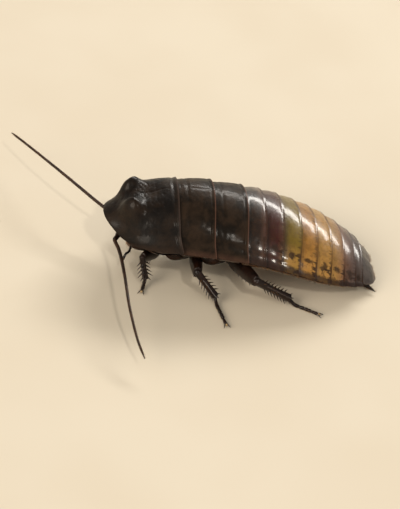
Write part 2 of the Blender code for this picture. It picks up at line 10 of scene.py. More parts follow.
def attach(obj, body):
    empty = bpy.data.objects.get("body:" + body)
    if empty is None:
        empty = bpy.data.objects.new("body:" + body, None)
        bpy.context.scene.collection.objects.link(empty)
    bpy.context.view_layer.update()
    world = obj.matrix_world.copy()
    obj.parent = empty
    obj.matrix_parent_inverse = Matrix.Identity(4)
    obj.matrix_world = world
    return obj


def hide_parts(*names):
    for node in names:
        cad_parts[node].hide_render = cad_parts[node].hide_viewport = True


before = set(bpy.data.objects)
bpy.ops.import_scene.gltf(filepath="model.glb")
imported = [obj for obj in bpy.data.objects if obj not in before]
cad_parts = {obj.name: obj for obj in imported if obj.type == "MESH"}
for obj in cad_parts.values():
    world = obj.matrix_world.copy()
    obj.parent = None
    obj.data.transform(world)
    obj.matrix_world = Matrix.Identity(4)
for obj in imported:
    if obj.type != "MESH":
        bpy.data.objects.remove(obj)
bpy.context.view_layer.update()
print("frame loaded")

# The animal is drawn in millimetres, head towards -Y, its left side towards +X,
# and moved into the frame's metres when a piece is stored.
frameShift = Vector((-2.298, 8.4928, 0.0))
intoFrame = Matrix.Scale(0.001, 4) @ Matrix.Translation(frameShift)

body = {
    "length": 62.0,
    "waist": 29.5,  # station that lies at y = 0
    "keelHeight": 9.6,  # the side edge over the floor at the waist
    "edgeThick": 0.5,
    "plateStep": 0.5,  # a plate's rear edge stands this far over the next plate
    "cornerBack": 0.8,
    "slope": ((0, 10.5), (10, 9.5), (20, 1.0), (30, -4.0), (42, -15.0), (62, -20.0)),
    "halfWidth": ((0, 8.0), (4, 10.0), (8, 11.1), (12, 11.8), (16, 11.95), (22.5, 12.4), (30, 12.9),
                  (38, 13.3), (46, 13.1), (52, 11.8), (56, 10.1), (62, 6.6)),
    "backHeight": ((0, 3.6), (4, 7.0), (9, 9.3), (15.5, 9.4), (22, 8.9), (30, 7.7), (40, 6.4),
                   (48, 5.2), (54, 3.9), (59, 2.6), (62, 1.7)),
    "bellyDepth": ((0, 0.6), (8, 2.6), (16, 3.4), (30, 3.7), (40, 3.6), (48, 3.0), (55, 1.9),
                   (62, 0.8)),
}


def profile(knots, steps=400):  # a smooth curve through (station, value) knots, kept as a fine table
    xs, ys = np.array(knots, float).T
    rates = np.diff(ys) / np.diff(xs)
    slopes = np.zeros(len(xs))
    sameWay = rates[:-1] * rates[1:] > 0
    slopes[1:-1] = np.where(sameWay, 2 * rates[:-1] * rates[1:] / (rates[:-1] + rates[1:] + 1e-12), 0)
    slopes[0], slopes[-1] = rates[0], rates[-1]
    places = np.linspace(xs[0], xs[-1], steps + 1)
    i = np.clip(np.searchsorted(xs, places) - 1, 0, len(xs) - 2)
    step = xs[i + 1] - xs[i]
    u = (places - xs[i]) / step
    values = ((1 + 2 * u) * (1 - u) ** 2 * ys[i] + u * (1 - u) ** 2 * step * slopes[i]
              + u * u * (3 - 2 * u) * ys[i + 1] - u * u * (1 - u) * step * slopes[i + 1]).tolist()
    first, spread = float(xs[0]), float(xs[-1] - xs[0]) / steps

    def read(s):
        place = min(max((s - first) / spread, 0.0), float(steps))
        k = min(int(place), steps - 1)
        return values[k] + (values[k + 1] - values[k]) * (place - k)

    return read


halfWidth = profile(body["halfWidth"])
backHeight = profile(body["backHeight"])
bellyDepth = profile(body["bellyDepth"])
slopeAt = profile(body["slope"])


def bodyLine():  # the line of the side edge, a little past both ends: angle, y and z at each station
    stations = np.linspace(-2, body["length"] + 4, 661)
    slope = np.radians([slopeAt(s) for s in stations])
    step = stations[1] - stations[0]
    y, z = np.cumsum(np.cos(slope)) * step, np.cumsum(np.sin(slope)) * step
    waist = np.argmin(abs(stations - body["waist"]))
    return [profile(list(zip(stations, values)))
            for values in (slope, y - y[waist], z - z[waist] + body["keelHeight"])]


lineAngle, lineY, lineZ = bodyLine()


def bodyPoint(s, x, height):  # x to the animal's left, height above the body line at station s
    angle = lineAngle(s)
    return Vector((x, lineY(s) - height * math.sin(angle), lineZ(s) + height * math.cos(angle)))


def dome(t, power=0.8):
    return max(0.0, 1 - t * t) ** power


def capsule(share, power):  # a sleeve's round-ended outline: 0 at both ends, 1 along the middle
    return math.sqrt(max(0.0, 1 - abs(2 * share - 1) ** power))


def hump(distance, radius, power=2.0):  # 1 in the middle, fading to 0 past the radius
    return math.exp(-(abs(distance / radius) ** power))


def ease(low, high, value):  # 0 below low, 1 above high, smooth between
    share = min(max((value - low) / (high - low), 0.0), 1.0)
    return share * share * (3 - 2 * share)


def grain(point, size, seed=0.0):  # smooth noise with features of that size in mm
    return noise.noise(Vector(point) / size + Vector((seed, seed * 0.7, -seed)))


# Building helpers: every shape starts from a bmesh.ops.create_ call

def newShape():
    bm = bmesh.new()
    bm.verts.layers.float_vector.new("plate")  # across, along and station, read by the materials
    return bm


def addSheet(bm, columns, rows, place, first=0.0, last=1.0):  # place gives a point for along and across
    layer = bm.verts.layers.float_vector["plate"]
    for vert in bmesh.ops.create_grid(bm, x_segments=columns, y_segments=rows, size=1)["verts"]:
        t = math.sin(math.pi / 2 * vert.co.x)
        f = first + (last - first) * (vert.co.y + 1) / 2
        vert.co, vert[layer] = place(f, t)


def addSleeve(bm, path, radius, columns=16, flat=1.0, side=(0, 0, 1), tone=0.0):
    layer = bm.verts.layers.float_vector["plate"]
    count = len(path) - 1
    frames = []
    for i, point in enumerate(path):
        along = (path[min(i + 1, count)] - path[max(i - 1, 0)]).normalized()
        broad = (Vector(side) - along * along.dot(Vector(side))).normalized()
        frames.append((point, broad, along.cross(broad)))
    made = bmesh.ops.create_grid(bm, x_segments=columns, y_segments=count, size=1)["verts"]
    for vert in made:
        i = round((vert.co.y + 1) / 2 * count)
        angle = math.pi * (vert.co.x + 1)
        point, broad, thin = frames[i]
        share = i / count
        vert[layer] = (angle, share, tone)
        vert.co = point + (broad * math.cos(angle) + thin * math.sin(angle) * flat) * radius(share, angle)
    bmesh.ops.remove_doubles(bm, verts=made, dist=1e-4)  # closes the seam and both ends
    return [vert for vert in made if vert.is_valid]


def addBlob(bm, centre, half, place=Matrix.Identity(4), columns=24, rows=16):
    made = bmesh.ops.create_uvsphere(bm, u_segments=columns, v_segments=rows, radius=1)["verts"]
    bmesh.ops.transform(bm, verts=made, matrix=place @ Matrix.Translation(Vector(centre))
                        @ Matrix.Diagonal((*half, 1)))
    return made


def addRing(bm, place, radius, thick, squash=1.0, steps=24):  # a ring about the matrix's own Z
    made = bmesh.ops.create_circle(bm, segments=10, radius=thick)["verts"]
    bmesh.ops.rotate(bm, verts=made, cent=(0, 0, 0), matrix=Matrix.Rotation(math.pi / 2, 3, "X"))
    bmesh.ops.translate(bm, verts=made, vec=(radius, 0, 0))
    edges = list({edge for vert in made for edge in vert.link_edges})
    before = set(bm.verts) - set(made)
    bmesh.ops.spin(bm, geom=made + edges, axis=(0, 0, 1), cent=(0, 0, 0), steps=steps,
                   angle=2 * math.pi, use_merge=True)
    ring = [vert for vert in bm.verts if vert not in before]
    bmesh.ops.transform(bm, verts=ring, matrix=place @ Matrix.Diagonal((1, squash, 1, 1)))
    return ring


def aim(start, direction, side=(0.31, 0.2, 0.93)):  # a matrix at start whose Z follows direction
    z = Vector(direction).normalized()
    y = z.cross(Vector(side)).normalized()
    matrix = Matrix((y.cross(z), y, z)).transposed().to_4x4()
    matrix.translation = Vector(start)
    return matrix


def addBristle(bm, root, direction, length, thick=0.022):
    bmesh.ops.create_cone(bm, cap_ends=True, segments=3, radius1=thick, radius2=thick * 0.2, depth=length,
                          matrix=aim(root, direction) @ Matrix.Translation((0, 0, length * 0.45)))


spineShape = {"along": (-0.12, 0.0, 0.07, 0.14, 0.3, 0.5, 0.7, 0.86, 0.96, 1.0),
              "size": (0, 1.35, 1.45, 1.0, 0.95, 0.78, 0.55, 0.33, 0.16, 0)}


def addSpine(bm, root, direction, length, thick, bend=(0, 0, 0)):  # socket collar and curved thorn
    way = Vector(direction).normalized()
    points = [Vector(root) + way * length * u + Vector(bend) * length * u * u for u in spineShape["along"]]
    side = (0.31, 0.93, 0.2) if abs(way.z) > 0.9 else (0, 0, 1)
    last = len(points) - 1
    return addSleeve(bm, points, lambda share, angle: thick * spineShape["size"][round(share * last)],
                     8, 1.0, side, 1.0)


def straight(start, end, rows):  # points between two ends, closer together near the ends
    start, end = Vector(start), Vector(end)
    return [start.lerp(end, 0.5 - 0.5 * math.cos(math.pi * i / rows)) for i in range(rows + 1)]


def smoothPath(points, rows):  # evenly spread points on a smooth curve through the given ones
    pts = np.array(points, float)
    ends = np.vstack([2 * pts[0] - pts[1], pts, 2 * pts[-1] - pts[-2]])
    dense = []
    for i in range(len(pts) - 1):
        a, b, c, d = ends[i:i + 4]
        for u in np.linspace(0, 1, 24, endpoint=False):
            dense.append(0.5 * (2 * b + (c - a) * u + (2 * a - 5 * b + 4 * c - d) * u ** 2
                                + (3 * b - a - 3 * c + d) * u ** 3))
    dense = np.array([*dense, pts[-1]])
    walked = np.r_[0, np.cumsum(np.linalg.norm(np.diff(dense, axis=0), axis=1))]
    spots = np.linspace(0, walked[-1], rows + 1)
    return [Vector([np.interp(spot, walked, dense[:, k]) for k in range(3)]) for spot in spots]


def paintFaces(verts, index):  # these vertices' faces take the piece's material of that index
    for vert in verts:
        for face in vert.link_faces:
            face.material_index = index


def paintFrom(bm, start, index):  # so do all faces after the first start ones
    bm.faces.ensure_lookup_table()
    for face in bm.faces[start:]:
        face.material_index = index


def storePiece(name, bm, mats, replaced=(), closed=True):
    if closed:
        bmesh.ops.recalc_face_normals(bm, faces=bm.faces)
    bmesh.ops.transform(bm, matrix=intoFrame, verts=bm.verts)
    mesh = bpy.data.meshes.new(name)
    bm.to_mesh(mesh)
    bm.free()
    mesh.shade_smooth()
    for mat in mats:
        mesh.materials.append(mat)
    piece = bpy.data.objects.new(name, mesh)
    bpy.context.scene.collection.objects.link(piece)
    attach(piece, "root")
    if replaced:
        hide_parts(*replaced)
    return piece


def storePlate(name, bm, mat, wall, roundEdge=0.1, replaced=()):  # a sheet, walled inwards, soft edges
    piece = storePiece(name, bm, [mat], replaced, closed=False)
    solid = piece.modifiers.new("wall", "SOLIDIFY")
    solid.thickness, solid.offset = wall * 0.001, -1.0
    soft = piece.modifiers.new("softEdge", "BEVEL")
    soft.width, soft.segments, soft.limit_method = roundEdge * 0.001, 2, "ANGLE"
    soft.angle_limit = math.radians(60)


# Materials: the whole animal is tanned chitin under its own wax. The real pits and wrinkles are under
# 0.1 mm and would not show, so they are drawn three to five times as coarse.

smooth = {"interpolation_type": "SMOOTHSTEP"}


def hexColour(text):  # sRGB hex to linear
    parts = [int(text[i:i + 2], 16) / 255 for i in (1, 3, 5)]
    return (*[p / 12.92 if p <= 0.04045 else ((p + 0.055) / 1.055) ** 2.4 for p in parts], 1.0)


def setInputs(owner, node, inputs):  # a value, a socket, or a node that stands for its first live output
    for key, value in inputs.items():
        if isinstance(value, bpy.types.Node):
            value = next(socket for socket in value.outputs if socket.enabled)
        if isinstance(value, bpy.types.NodeSocket):
            owner.node_tree.links.new(value, node.inputs[key])
        else:
            node.inputs[key].default_value = value


def addNode(owner, kind, inputs, **settings):
    node = owner.node_tree.nodes.new("ShaderNode" + kind)
    for key, value in settings.items():
        setattr(node, key, value)
    setInputs(owner, node, inputs)
    return node


def newMaterial(name, **constants):  # also gives Object coordinates in millimetres for its patterns
    mat = bpy.data.materials.new(name)
    mat.use_nodes = True
    shader = mat.node_tree.nodes["Principled BSDF"]
    setInputs(mat, shader, {key.replace("_", " "): value for key, value in constants.items()})
    place = addNode(mat, "TexCoord", {})
    inMm = addNode(mat, "Mapping", {"Vector": place.outputs["Object"], "Scale": (1000, 1000, 1000)})
    return mat, shader, inMm


def plateParts(mat):  # across, along and station, as newShape keeps them
    stored = addNode(mat, "Attribute", {}, attribute_name="plate")
    parts = addNode(mat, "SeparateXYZ", {0: stored.outputs["Vector"]})
    return [parts.outputs[key] for key in "XYZ"]


def layOver(mat, colour, layers):  # each layer: masks, which multiply, then its strength and colour
    for masks, strength, tone in layers:
        share = strength
        for mask in masks:
            share = addNode(mat, "Math", {0: mask, 1: share}, operation="MULTIPLY")
        colour = addNode(mat, "Mix", {0: share, 6: colour, 7: hexColour(tone)}, data_type="RGBA")
    return colour


def finishShell(mat, shader, inMm, colour, look):  # mottled gloss, pits and fine wrinkles
    cloud = addNode(mat, "TexNoise", {"Vector": inMm, "Scale": 1 / look["cloudMm"], "Detail": 3.0,
                                      "Roughness": 0.55})
    glossLow, glossHigh = look["gloss"]
    gloss = addNode(mat, "MapRange", {0: cloud, 1: 0.3, 2: 0.7, 3: glossLow, 4: glossHigh}, **smooth)
    spots = addNode(mat, "TexVoronoi", {"Vector": inMm, "Scale": 1 / look["pitMm"]}, feature="F1")
    pits = addNode(mat, "MapRange", {0: spots, 1: 0.05, 2: 0.35}, **smooth)
    wrinkles = addNode(mat, "TexNoise", {"Vector": inMm, "Scale": 1 / look["wrinkleMm"], "Detail": 5.0,
                                         "Roughness": 0.6, "Distortion": 0.6})
    relief = addNode(mat, "Math", {0: pits, 1: look["pitShare"], 2: wrinkles}, operation="MULTIPLY_ADD")
    bump = addNode(mat, "Bump", {"Height": relief, "Distance": look["reliefMm"] * 0.001, "Strength": 1.0})
    setInputs(mat, shader, {"Base Color": hexColour(look["dark"])})
    setInputs(mat, shader, {"Base Color": colour, "Roughness": gloss, "Normal": bump})
    return mat


def shellMaterial(name, look):  # two tones in clouds, and where there is a border a paler hind and side edge, partly a painted highlight on the shoulder plates and wholly one on the end plate
    mat, shader, inMm = newMaterial(name, Coat_Weight=look["coat"], Coat_Roughness=look["coatRough"],
                                    Specular_IOR_Level=look["specular"])
    cloud = addNode(mat, "TexNoise", {"Vector": inMm, "Scale": 1 / (look["cloudMm"] * 1.7), "Detail": 5.0,
                                      "Roughness": 0.6, "Distortion": 0.4})
    light = addNode(mat, "MapRange", {0: cloud, 1: 0.35, 2: 0.68}, **smooth)
    layers = [((light,), 1.0, look["light"])]
    if "border" in look:
        across, along, _ = plateParts(mat)
        away = addNode(mat, "Math", {0: across}, operation="ABSOLUTE")
        side = addNode(mat, "MapRange", {0: away, 1: 0.94, 2: 1.0, 4: 0.35}, **smooth)
        hind = addNode(mat, "MapRange", {0: along, 1: look["borderFrom"], 2: 1.0}, **smooth)
        border = addNode(mat, "Math", {0: hind, 1: side}, operation="MAXIMUM")
        layers.append(((border,), look["borderShare"], look["border"]))
    return finishShell(mat, shader, inMm, layOver(mat, hexColour(look["dark"]), layers), look)


blackShell = shellMaterial("waxedBlackChitin", {  # nearly black, with a dull wax sheen
    "dark": "#0d0907", "light": "#21170f", "border": "#3f322c", "borderFrom": 0.97, "borderShare": 0.7,
    "specular": 0.1, "coat": 0.1, "coatRough": 0.17, "gloss": (0.38, 0.52),
    "cloudMm": 2.2, "pitMm": 0.55, "pitShare": 0.8, "wrinkleMm": 0.35, "reliefMm": 0.03})
brownShell = shellMaterial("waxedBrownChitin", {  # brown-black plates with a redder hind border, partly their own colour and partly a painted highlight
    "dark": "#15100b", "light": "#2d2219", "border": "#63463b", "borderFrom": 0.955, "borderShare": 0.75,
    "specular": 0.05, "coat": 0.09, "coatRough": 0.17, "gloss": (0.38, 0.52),
    "cloudMm": 2.0, "pitMm": 0.45, "pitShare": 0.6, "wrinkleMm": 0.3, "reliefMm": 0.028})
hipShell = shellMaterial("hipChitin", {  # the same, redder and without a border
    "dark": "#15100b", "light": "#29180f", "specular": 0.05, "coat": 0.09, "coatRough": 0.17,
    "gloss": (0.38, 0.52),
    "cloudMm": 2.0, "pitMm": 0.45, "pitShare": 0.6, "wrinkleMm": 0.3, "reliefMm": 0.028})
tailShell = shellMaterial("greyBrownChitin", {  # thinner and greyer; its paler edge is a painted highlight
    "dark": "#2b2320", "light": "#4c423d", "border": "#7d6d60", "borderFrom": 0.86, "borderShare": 0.7,
    "specular": 0.25, "coat": 0.26, "coatRough": 0.24, "gloss": (0.3, 0.46),
    "cloudMm": 1.5, "pitMm": 0.4, "pitShare": 0.5, "wrinkleMm": 0.25, "reliefMm": 0.025})
breastShell = shellMaterial("breastChitin", {  # softer plates of the underside, brown
    "dark": "#1d120c", "light": "#48301f", "specular": 0.4, "coat": 0.3, "coatRough": 0.2,
    "gloss": (0.35, 0.5),
    "cloudMm": 1.6, "pitMm": 0.4, "pitShare": 0.4, "wrinkleMm": 0.3, "reliefMm": 0.03})
legShell = shellMaterial("legChitin", {  # dark red-brown, smooth
    "dark": "#0f0705", "light": "#22120b", "specular": 0.2, "coat": 0.14, "coatRough": 0.17,
    "gloss": (0.28, 0.42),
    "cloudMm": 1.4, "pitMm": 0.35, "pitShare": 0.5, "wrinkleMm": 0.22, "reliefMm": 0.02})
thornShell = shellMaterial("thornChitin", {  # hard thorns and claws, glossy
    "dark": "#120806", "light": "#2b140b", "specular": 0.5, "coat": 0.5, "coatRough": 0.12,
    "gloss": (0.22, 0.3),
    "cloudMm": 1.0, "pitMm": 0.3, "pitShare": 0.2, "wrinkleMm": 0.2, "reliefMm": 0.008})
feelerShell = shellMaterial("feelerChitin", {  # brown and dull, from its coat of tiny hairs
    "dark": "#1a0e08", "light": "#362012", "specular": 0.22, "coat": 0.07, "coatRough": 0.3,
    "gloss": (0.42, 0.58),
    "cloudMm": 1.2, "pitMm": 0.2, "pitShare": 0.4, "wrinkleMm": 0.15, "reliefMm": 0.02})
mouthShell = shellMaterial("mouthpartChitin", {  # thin and pale, so a warm brown
    "dark": "#3b2313", "light": "#6b4627", "specular": 0.5, "coat": 0.3, "coatRough": 0.2,
    "gloss": (0.3, 0.45),
    "cloudMm": 0.8, "pitMm": 0.25, "pitShare": 0.4, "wrinkleMm": 0.2, "reliefMm": 0.015})
softSkin = shellMaterial("jointSkin", {  # untanned skin of the neck and joints: pale, dull, folded
    "dark": "#6e543c", "light": "#a58763", "specular": 0.4, "coat": 0.1, "coatRough": 0.35,
    "gloss": (0.45, 0.6),
    "cloudMm": 0.9, "pitMm": 0.3, "pitShare": 0.2, "wrinkleMm": 0.18, "reliefMm": 0.05})

ringLook = {
    "dark": "#3a2415", "gloss": (0.27, 0.45), "cloudMm": 1.6, "pitMm": 0.4, "pitShare": 0.5,
    "wrinkleMm": 0.28, "reliefMm": 0.022,
    "stations": (29.0, 61.0),  # the colours along the back run between these
    "colours": ((29.6, "#1a130e"), (31.9, "#20140f"), (32.9, "#4a332b"), (33.7, "#331812"), (35.6, "#36110d"),
                (36.5, "#4c2e22"), (37.5, "#61502d"), (38.3, "#66541c"), (40.8, "#76611c"), (41.5, "#8f652a"),
                (44.9, "#9a6e2e"), (45.8, "#a0783a"), (49.4, "#a0783a"), (50.4, "#94703d"), (52.3, "#7f5a3f"),
                (53.2, "#6e4f3d"), (54.6, "#54413a"), (57.0, "#463a35"), (58.5, "#4b4340")),
    # the pale flank tone is painted light on the lower flank of the middle rings; the other tones are the
    # rings' own
    "cloud": "#3a2410", "pinkFlank": "#7b6450", "paintedFlankLight": "#cf9c55", "hindBorder": "#2a170b",
    "blotch": "#34200c", "spot": "#271508", "sideEdge": "#24130a",
}


def ringMaterial(name, look):  # translucent amber chitin, darker towards the waist and the tail
    mat, shader, inMm = newMaterial(name, Coat_Weight=0.4, Coat_Roughness=0.15, Specular_IOR_Level=0.15,
                                    Subsurface_Weight=0.12, Subsurface_Scale=0.0006,
                                    Subsurface_Radius=(1.0, 0.45, 0.2))
    across, along, station = plateParts(mat)
    away = addNode(mat, "Math", {0: across}, operation="ABSOLUTE")
    wander = addNode(mat, "TexNoise", {"Vector": inMm, "Scale": 1 / 1.8, "Detail": 3.0, "Roughness": 0.55})
    shift = addNode(mat, "Math", {0: wander, 1: 0.5}, operation="SUBTRACT")
    shifted = addNode(mat, "Math", {0: shift, 1: 1.2, 2: station}, operation="MULTIPLY_ADD")
    first, last = look["stations"]
    ramp = addNode(mat, "ValToRGB", {0: addNode(mat, "MapRange", {0: shifted, 1: first, 2: last})})
    elements = ramp.color_ramp.elements
    while len(elements) < len(look["colours"]):
        elements.new(0.5)
    for element, (at, text) in zip(elements, look["colours"]):
        element.position = (at - first) / (last - first)
        element.color = hexColour(text)
    cloud = addNode(mat, "TexNoise", {"Vector": inMm, "Scale": 1 / 1.1, "Detail": 5.0, "Roughness": 0.6,
                                      "Distortion": 0.5})
    flank = addNode(mat, "MapRange", {0: away, 1: 0.58, 2: 0.84}, **smooth)
    # the dark hind border runs forwards in short streaks, about 0.5 mm apart, longest low down
    streakPlace = addNode(mat, "CombineXYZ", {
        0: addNode(mat, "Math", {0: across, 1: 26.0}, operation="MULTIPLY"),
        1: addNode(mat, "Math", {0: station, 1: 0.35}, operation="MULTIPLY")})
    streak = addNode(mat, "TexNoise", {"Vector": streakPlace, "Scale": 1.0, "Detail": 2.0, "Roughness": 0.5})
    streakLength = addNode(mat, "MapRange", {0: streak, 1: 0.42, 2: 0.75, 4: 0.3}, **smooth)
    longerBelow = addNode(mat, "Math", {0: flank, 1: 0.8, 2: 0.7}, operation="MULTIPLY_ADD")
    reach = addNode(mat, "Math", {0: streakLength, 1: longerBelow, 2: along}, operation="MULTIPLY_ADD")
    darkerBelow = addNode(mat, "Math", {0: flank, 1: 0.35, 2: 0.55}, operation="MULTIPLY_ADD")
    # irregular dark blotches, thickest low on each side, and one larger spot on each half of a ring
    blotches = addNode(mat, "TexNoise", {"Vector": inMm, "Scale": 1 / 0.8, "Detail": 2.0, "Roughness": 0.5,
                                         "Distortion": 0.3})
    drift = addNode(mat, "TexNoise", {"Vector": inMm, "Scale": 1 / 5.0, "Detail": 0.0, "Roughness": 0.55})
    spotLine = addNode(mat, "Math", {0: drift, 1: 0.3, 2: 0.65}, operation="MULTIPLY_ADD")
    fromLine = addNode(mat, "Math", {0: away, 1: spotLine}, operation="SUBTRACT")
    spotPlace = addNode(mat, "CombineXYZ", {  # in the spot's half width and half length
        0: addNode(mat, "Math", {0: fromLine, 1: 0.045}, operation="DIVIDE"),
        1: addNode(mat, "Math", {0: along, 1: 5.0, 2: -2.25}, operation="MULTIPLY_ADD")})
    spotAway = addNode(mat, "VectorMath", {0: spotPlace}, operation="LENGTH")
    ragged = addNode(mat, "Math", {0: cloud, 1: 2.6, 2: spotAway}, operation="MULTIPLY_ADD")
    edgeAway = addNode(mat, "Math", {0: wander, 1: 0.08, 2: away}, operation="MULTIPLY_ADD")
    clouded, pinkFrom, pinkTo, flankLightFrom, flankLightTo, border, blotch, spot, edge = (
        addNode(mat, "MapRange", {0: value, 1: none, 2: full}, **smooth) for value, none, full in (
            (cloud, 0.35, 0.72), (shifted, 35.9, 37.0), (shifted, 39.0, 37.8), (shifted, 37.4, 39.0),
            (shifted, 53.0, 50.0), (reach, 0.84, 0.97), (blotches, 0.55, 0.63), (ragged, 2.9, 1.9),
            (edgeAway, 0.945, 0.995)))
    colour = layOver(mat, ramp, (
        ((clouded,), 0.4, look["cloud"]),
        ((pinkFrom, pinkTo, flank), 0.5, look["pinkFlank"]),  # low on the second and third rings
        ((flankLightFrom, flankLightTo, flank), 0.34, look["paintedFlankLight"]),  # painted light: the lower flank lightened as if lit from below and through the shell
        ((border, darkerBelow), 1.0, look["hindBorder"]),
        ((blotch, flank), 0.6, look["blotch"]),
        ((spot,), 0.85, look["spot"]),
        ((edge,), 0.85, look["sideEdge"])))
    return finishShell(mat, shader, inMm, colour, look)


def bellyMaterial(name, look):  # amber brown in the middle, dark along the sides and hind borders
    mat, shader, inMm = newMaterial(name, Coat_Weight=0.35, Coat_Roughness=0.2, IOR=1.56)
    across, along, _ = plateParts(mat)
    away = addNode(mat, "Math", {0: across}, operation="ABSOLUTE")
    cloud = addNode(mat, "TexNoise", {"Vector": inMm, "Scale": 1 / 1.5, "Detail": 5.0, "Roughness": 0.6,
                                      "Distortion": 0.4})
    light = addNode(mat, "MapRange", {0: cloud, 1: 0.3, 2: 0.7}, **smooth)
    ragged = addNode(mat, "Math", {0: cloud, 1: 0.2, 2: away}, operation="MULTIPLY_ADD")
    sides = addNode(mat, "MapRange", {0: ragged, 1: 0.72, 2: 1.0}, **smooth)
    hind = addNode(mat, "MapRange", {0: along, 1: 0.8, 2: 0.98}, **smooth)
    dark = addNode(mat, "Math", {0: sides, 1: hind}, operation="MAXIMUM")
    colour = layOver(mat, hexColour("#5d3a1c"), (((light,), 1.0, "#8b6030"), ((dark,), 0.85, "#25150c")))
    return finishShell(mat, shader, inMm, colour, look)


def cloudyMaterial(name, look, **constants):  # two tones in soft clouds, with gloss that follows them
    mat, shader, inMm = newMaterial(name, **constants)
    cloud = addNode(mat, "TexNoise", {"Vector": inMm, "Scale": 1 / look["cloudMm"],
                                      "Detail": look["detail"], "Roughness": 0.55})
    light = addNode(mat, "MapRange", {0: cloud, 1: look["lightFrom"], 2: 0.7}, **smooth)
    glossLow, glossHigh = look["gloss"]
    gloss = addNode(mat, "MapRange", {0: cloud, 1: 0.3, 2: 0.7, 3: glossLow, 4: glossHigh}, **smooth)
    height = cloud
    if "lensMm" in look:
        lens = addNode(mat, "TexVoronoi", {"Vector": inMm, "Scale": 1 / look["lensMm"], "Randomness": 0.25})
        height = addNode(mat, "MapRange", {0: lens, 1: 0.0, 2: 0.6, 3: 1.0, 4: 0.0}, **smooth)
    bump = addNode(mat, "Bump", {"Height": height, "Distance": look["reliefMm"] * 0.001,
                                 "Strength": look["relief"]})
    colour = layOver(mat, hexColour(look["dark"]), (((light,), 1.0, look["light"]),))
    setInputs(mat, shader, {"Base Color": colour, "Roughness": gloss, "Normal": bump})
    return mat


ringShell = ringMaterial("amberChitin", ringLook)
bellyShell = bellyMaterial("bellyChitin", {**ringLook, "gloss": (0.32, 0.48)})
# The eye is black-brown, each lens a tiny glossy dome. Real lenses are 0.03 mm, these four times as coarse.
eyeLens = cloudyMaterial("eyeLenses", {
    "dark": "#050404", "light": "#1a100d", "lightFrom": 0.35, "cloudMm": 0.7, "detail": 3.0,
    "gloss": (0.26, 0.4), "lensMm": 0.12, "relief": 0.6, "reliefMm": 0.01},
    Coat_Weight=0.3, Coat_Roughness=0.2)
# Thin chitin that light shines through: the pale spots by the feelers, the foot pads and the bristles.
paleLooks = {"ocellarSpot": ("#6f5530", "#94784a", 0.3, (0.35, 0.5)),
             "footPad": ("#8c7552", "#c0a67c", 0.2, (0.5, 0.65)),
             "goldenBristle": ("#6a3f1a", "#a06c34", 0.5, (0.35, 0.5))}
paleSpot, footPad, bristleHair = (
    cloudyMaterial(name, {"dark": dark, "light": light, "lightFrom": 0.3, "cloudMm": cloudMm, "detail": 4.0,
                          "gloss": gloss, "relief": 0.8, "reliefMm": 0.02},
                   IOR=1.45, Subsurface_Weight=0.2, Subsurface_Scale=0.0004,
                   Subsurface_Radius=(1.0, 0.6, 0.35))
    for name, (dark, light, cloudMm, gloss) in paleLooks.items())
print("materials made")

# Pronotum: the hood over the head, with a male's two horns

hood = {"end": 15.5, "columns": 150, "rows": 100, "frontBow": 4.8, "wall": 0.7,
        "horns": ((0.36, 0.40), (0.36, -0.40)), "hornHeight": 2.3, "hornRadius": 2.25,
        "hollow": (0.62, -1.1, 3.0), "rimRaise": 0.7, "rimWidth": 0.09, "sideGutter": 0.22,
        "frontGutter": 0.2, "hindBead": 0.12, "hindGroove": 0.14, "wrinkle": 0.08, "swell": 0.1,
        "pit": 0.06, "middleLine": 0.12}


def pronotumPlace(f, t):
    s = hood["end"] * f + hood["frontBow"] * (1 - f) * abs(t) ** 2.2 + body["cornerBack"] * f * abs(t) ** 8
    width = halfWidth(hood["end"] * f) + body["plateStep"] * (f - 0.5)
    height = backHeight(hood["end"] * f) * dome(t)
    nearHorn = 0.0
    for hornF, hornT in hood["horns"]:
        away = math.hypot((f - hornF) * hood["end"], (t - hornT) * width)
        knob = hump(away, hood["hornRadius"], 2.9)
        nearHorn = max(nearHorn, knob)
        height += hood["hornHeight"] * knob
    hollowF, depth, radius = hood["hollow"]
    height += depth * hump(math.hypot((f - hollowF) * hood["end"], t * width), radius)
    height += hood["rimRaise"] * hump(1 - abs(t), hood["rimWidth"])
    height += hood["rimRaise"] * hump(f, hood["rimWidth"]) * dome(t)
    height -= hood["sideGutter"] * hump(1 - abs(t) - 0.2, 0.07) * ease(0.05, 0.25, f)
    height -= hood["frontGutter"] * hump(f - 0.2, 0.05) * dome(t) * (1 - nearHorn)
    height += hood["hindBead"] * hump(1 - f, 0.02) - hood["hindGroove"] * hump(0.945 - f, 0.02)
    x, y = width * t, s
    disc = ease(0.92, 0.6, abs(t)) * ease(0.95, 0.8, f) * ease(0.1, 0.22, f) * (1 - 0.7 * nearHorn)
    fold = abs(grain((x * 0.8, y * 1.3, 0), 1.5, 3.0)) + 0.5 * abs(grain((x, y * 1.6, 0), 0.7, 9.0))
    height -= hood["wrinkle"] * disc * (1 - min(1.0, 2.2 * fold))
    height += hood["swell"] * grain((x, y, 0), 2.6, 5.0) * disc
    spot = noise.voronoi(Vector((x, y, 0)) / 0.9, distance_metric="DISTANCE")[0][0]
    height -= hood["pit"] * ease(0.34, 0.12, spot) * ease(0.97, 0.85, abs(t)) * ease(0.93, 0.85, f)
    height -= hood["middleLine"] * hump(x, 0.22) * ease(0.4, 0.55, f) * ease(0.93, 0.85, f)
    return bodyPoint(s, x, body["edgeThick"] / 2 + height), (t, f, s)


bm = newShape()
addSheet(bm, hood["columns"], hood["rows"], pronotumPlace)
storePlate("pronotumHood", bm, blackShell, hood["wall"], replaced=["pronotum"])
print("pronotum made")

# Mesonotum and metanotum: the two broad plates behind it

